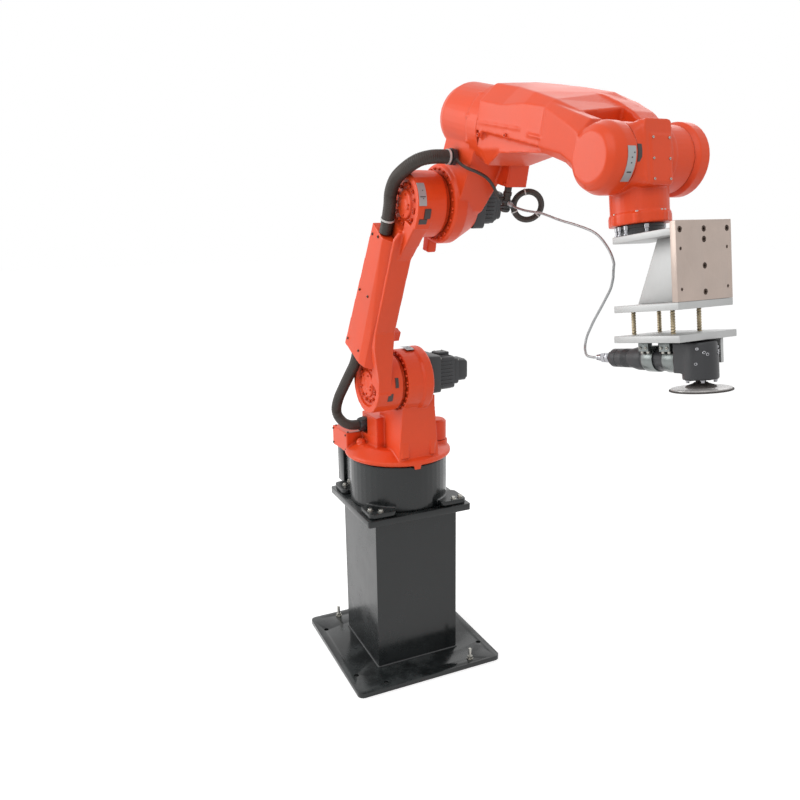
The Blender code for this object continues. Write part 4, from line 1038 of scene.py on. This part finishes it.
# Air inlet: knurled swivel, chrome nut and black nut, all three made with the chrome finish
turned_piece("inlet_parts", "tool", "bright_steel", [(GRINDER, 36, [
    (0.005, -0.157), (0.0072, -0.156), (0.0072, -0.15), (0.006, -0.1495), (0.006, -0.147),
    (0.0088, -0.1465), (0.0088, -0.14), (0.007, -0.1395), (0.007, -0.137), (0.0125, -0.1365, 6),
    (0.0125, -0.125, 6), (0.01, -0.1245), (0.01, -0.1225), (0.013, -0.122, 6), (0.013, -0.112, 6),
    (0.011, -0.111), (0.011, -0.1075)])], "chrome", ("hose_fitting",))


def fill_clamps(shape):
    """Two split clamps round the grinder, with their ears."""
    for middle in CLAMPS:
        add_band(shape, shifted(GRINDER, (0, 0, middle)), 0.0265, 0.0295, -0.016, 0.016, 48)
        for side in (-1, 1):
            add_box(shape, TOOL, (middle - 0.0145, side * 0.03 - 0.0065, -0.256),
                    (middle + 0.0145, side * 0.03 + 0.0065, -0.2365))


def add_head_forms(shape):
    """Shoulders of the gear head between the body and the neck."""
    add_turned(shape, GRINDER, [(0.0268, 0.096), (0.03, 0.108), (0.0335, 0.125), (0.033, 0.15),
                                (0.025, 0.17)], 36)
    add_turned(shape, HEAD_AT, [(0.03, -0.2385), (0.0345, -0.244), (0.0345, -0.29), (0.0366, -0.296),
                                (0.0366, -0.3155)], 48)


def fill_head_screws(shape):
    """Screws round the gear head and bolts under it."""
    for side, (angle, height) in product((-1, 1), ((58, -0.25), (37, -0.258), (26, -0.262), (63, -0.281))):
        out = (cos(radians(angle)), side * sin(radians(angle)), 0)
        spot = (SPINDLE_REACH + 0.0335 * out[0], 0.0335 * out[1], height)
        add_cap_screw(shape, pointed(TOOL, spot, out), 0.0034, 0.0038)
    for at in circle_of(pointed(HEAD_AT, (0, 0, -0.3158), (0, 0, -1)), 0.029, 6, 15):
        add_hex_bolt(shape, at, 0.004, 0.006)


def fill_flange_screws(shape):
    """Chrome screws that stand round the flange in groups of three."""
    for angle in (-125, -103, -81, 55, 77, 99, -30, 150):
        add_turned(shape, shifted(spun(TOOL, angle), (0.05, 0, 0.0005)), [
            (0.0062, 0), (0.0062, 0.003), (0.004, 0.0035), (0.004, 0.011), (0.0056, 0.0115), (0.0056, 0.02),
            (0.0048, 0.0208)], 20)


piece("clamp_halves", "tool", "bright_steel", fill_clamps, bevel=0.0008,
      stands_for=("clamp_ring_1", "clamp_ring_2"))
screw_piece("clamp_screws", "tool", "bright_steel", "zinc",
            ([pointed(TOOL, (across, side * 0.03, -0.256), (0, 0, -1)) for across, side in CLAMP_BOLTS],
             0.0042, 0.0045),
            ([pointed(TOOL, (across, side * 0.0365, -0.248), (0, side, 0)) for across, side in CLAMP_BOLTS],
             0.0032, 0.0028))
cast("gear_head", "tool", "grinder_head", 0.0016, 18, 24000, add_head_forms, slot="motor_black")
piece("head_screws", "tool", "bright_steel", fill_head_screws, "chrome")
piece("flange_screws", "tool", "bright_steel", fill_flange_screws, "chrome")

# Stepped tool flange
turned_piece("flange_steps", "tool", "motor_black", [(TOOL, 64, [
    (0.052, 0.0003), (0.052, 0.007), (0.049, 0.0075), (0.049, 0.0145), (0.051, 0.015),
    (0.051, 0.0215)])], stands_for=("tool_flange",))

# Spindle and ribbed hub, sanding disc, and the pale backing pad between them
turned_piece("disc_body", "disc", "sanding_grit", [
    (SPIN, 48, [(0.01, 0.0), (0.0105, -0.006), (0.014, -0.0065), (0.015, -0.008), (0.0215, -0.0105),
                (0.03, -0.0135), (0.0315, -0.0165), (0.01, -0.017)]),
    (SPIN, 96, [(0.025, -0.019), (0.0632, -0.0205), (0.064, -0.0215), (0.064, -0.0232), (0.0625, -0.024),
                (0.006, -0.024)])], stands_for=("sanding_disc",))
turned_piece("disc_pad", "disc", "bright_steel", [
    (SPIN, 96, [(0.02, -0.016), (0.056, -0.0172), (0.0605, -0.0182), (0.061, -0.0205),
                (0.02, -0.0208)])], "pad")


# Studio

FLOOR_HALF = 30.0
FLOOR_DROP = 0.0005
FLOOR_GREY = 0.8
FLOOR_GLOW = 0.53
SKY_LIGHT = 0.62


def fed(tree, made, *values):
    """A node's output, once its inputs are linked to some outputs in their order."""
    for socket, value in zip(made.inputs, values):
        tree.links.new(value, socket)
    return made.outputs[0]


def seen_or_not(tree, unseen, seen):
    """One shader for camera, glossy and transmission rays, and another one for the rest."""
    rays = joined(tree, "LightPath").outputs
    share = rays["Is Camera Ray"]
    for kind in ("Is Glossy Ray", "Is Transmission Ray"):
        share = fed(tree, joined(tree, "Math", operation="MAXIMUM"), share, rays[kind])
    return fed(tree, joined(tree, "MixShader"), share, unseen, seen)


def add_floor():
    """A white floor that keeps the object's shadow."""
    shape = bmesh.new()
    shape.faces.new([shape.verts.new((side * FLOOR_HALF, end * FLOOR_HALF, -FLOOR_DROP))
                     for side, end in CORNERS])
    floor = new_object("floor", shape)
    paint = bpy.data.materials.new("studio floor")
    paint.use_nodes = True
    tree = paint.node_tree
    tree.nodes.clear()
    matt = joined(tree, "BsdfDiffuse", Color=(FLOOR_GREY, FLOOR_GREY, FLOOR_GREY, 1)).outputs[0]
    glow = joined(tree, "Emission", Color=(1, 1, 1, 1), Strength=FLOOR_GLOW).outputs[0]
    both = fed(tree, joined(tree, "AddShader"), matt, glow)
    joined(tree, "OutputMaterial", Surface=seen_or_not(tree, matt, both))
    floor.data.materials.append(paint)


def add_world():
    """Soft light from all round, and a white background."""
    world = bpy.data.worlds.new("studio")
    world.use_nodes = True
    tree = world.node_tree
    tree.nodes.clear()
    soft = joined(tree, "Background", Color=(1, 1, 1, 1), Strength=SKY_LIGHT).outputs[0]
    white = joined(tree, "Background", Color=(1, 1, 1, 1), Strength=1.0).outputs[0]
    joined(tree, "OutputWorld", Surface=seen_or_not(tree, soft, white))
    bpy.context.scene.world = world


def add_lamp(name, place, target, size, power):
    """A square soft lamp that faces a point."""
    lamp = bpy.data.lights.new(name, "AREA")
    lamp.size = size
    lamp.energy = power
    made = add_object(name, lamp)
    made.location = place
    made.rotation_euler = (Vector(target) - Vector(place)).to_track_quat("-Z", "Y").to_euler()


add_floor()
add_world()
add_lamp("window", (-1.6, -3.2, 2.6), (0.2, 0, 1.3), 2.4, 60)
add_lamp("key", (2.8, -2.4, 4.2), (0.3, 0, 1.1), 3.0, 44)
add_lamp("rear", (-1.5, 3.0, 3.4), (0.3, 0, 1.4), 2.4, 24)
bpy.context.scene.view_settings.view_transform = "Standard"
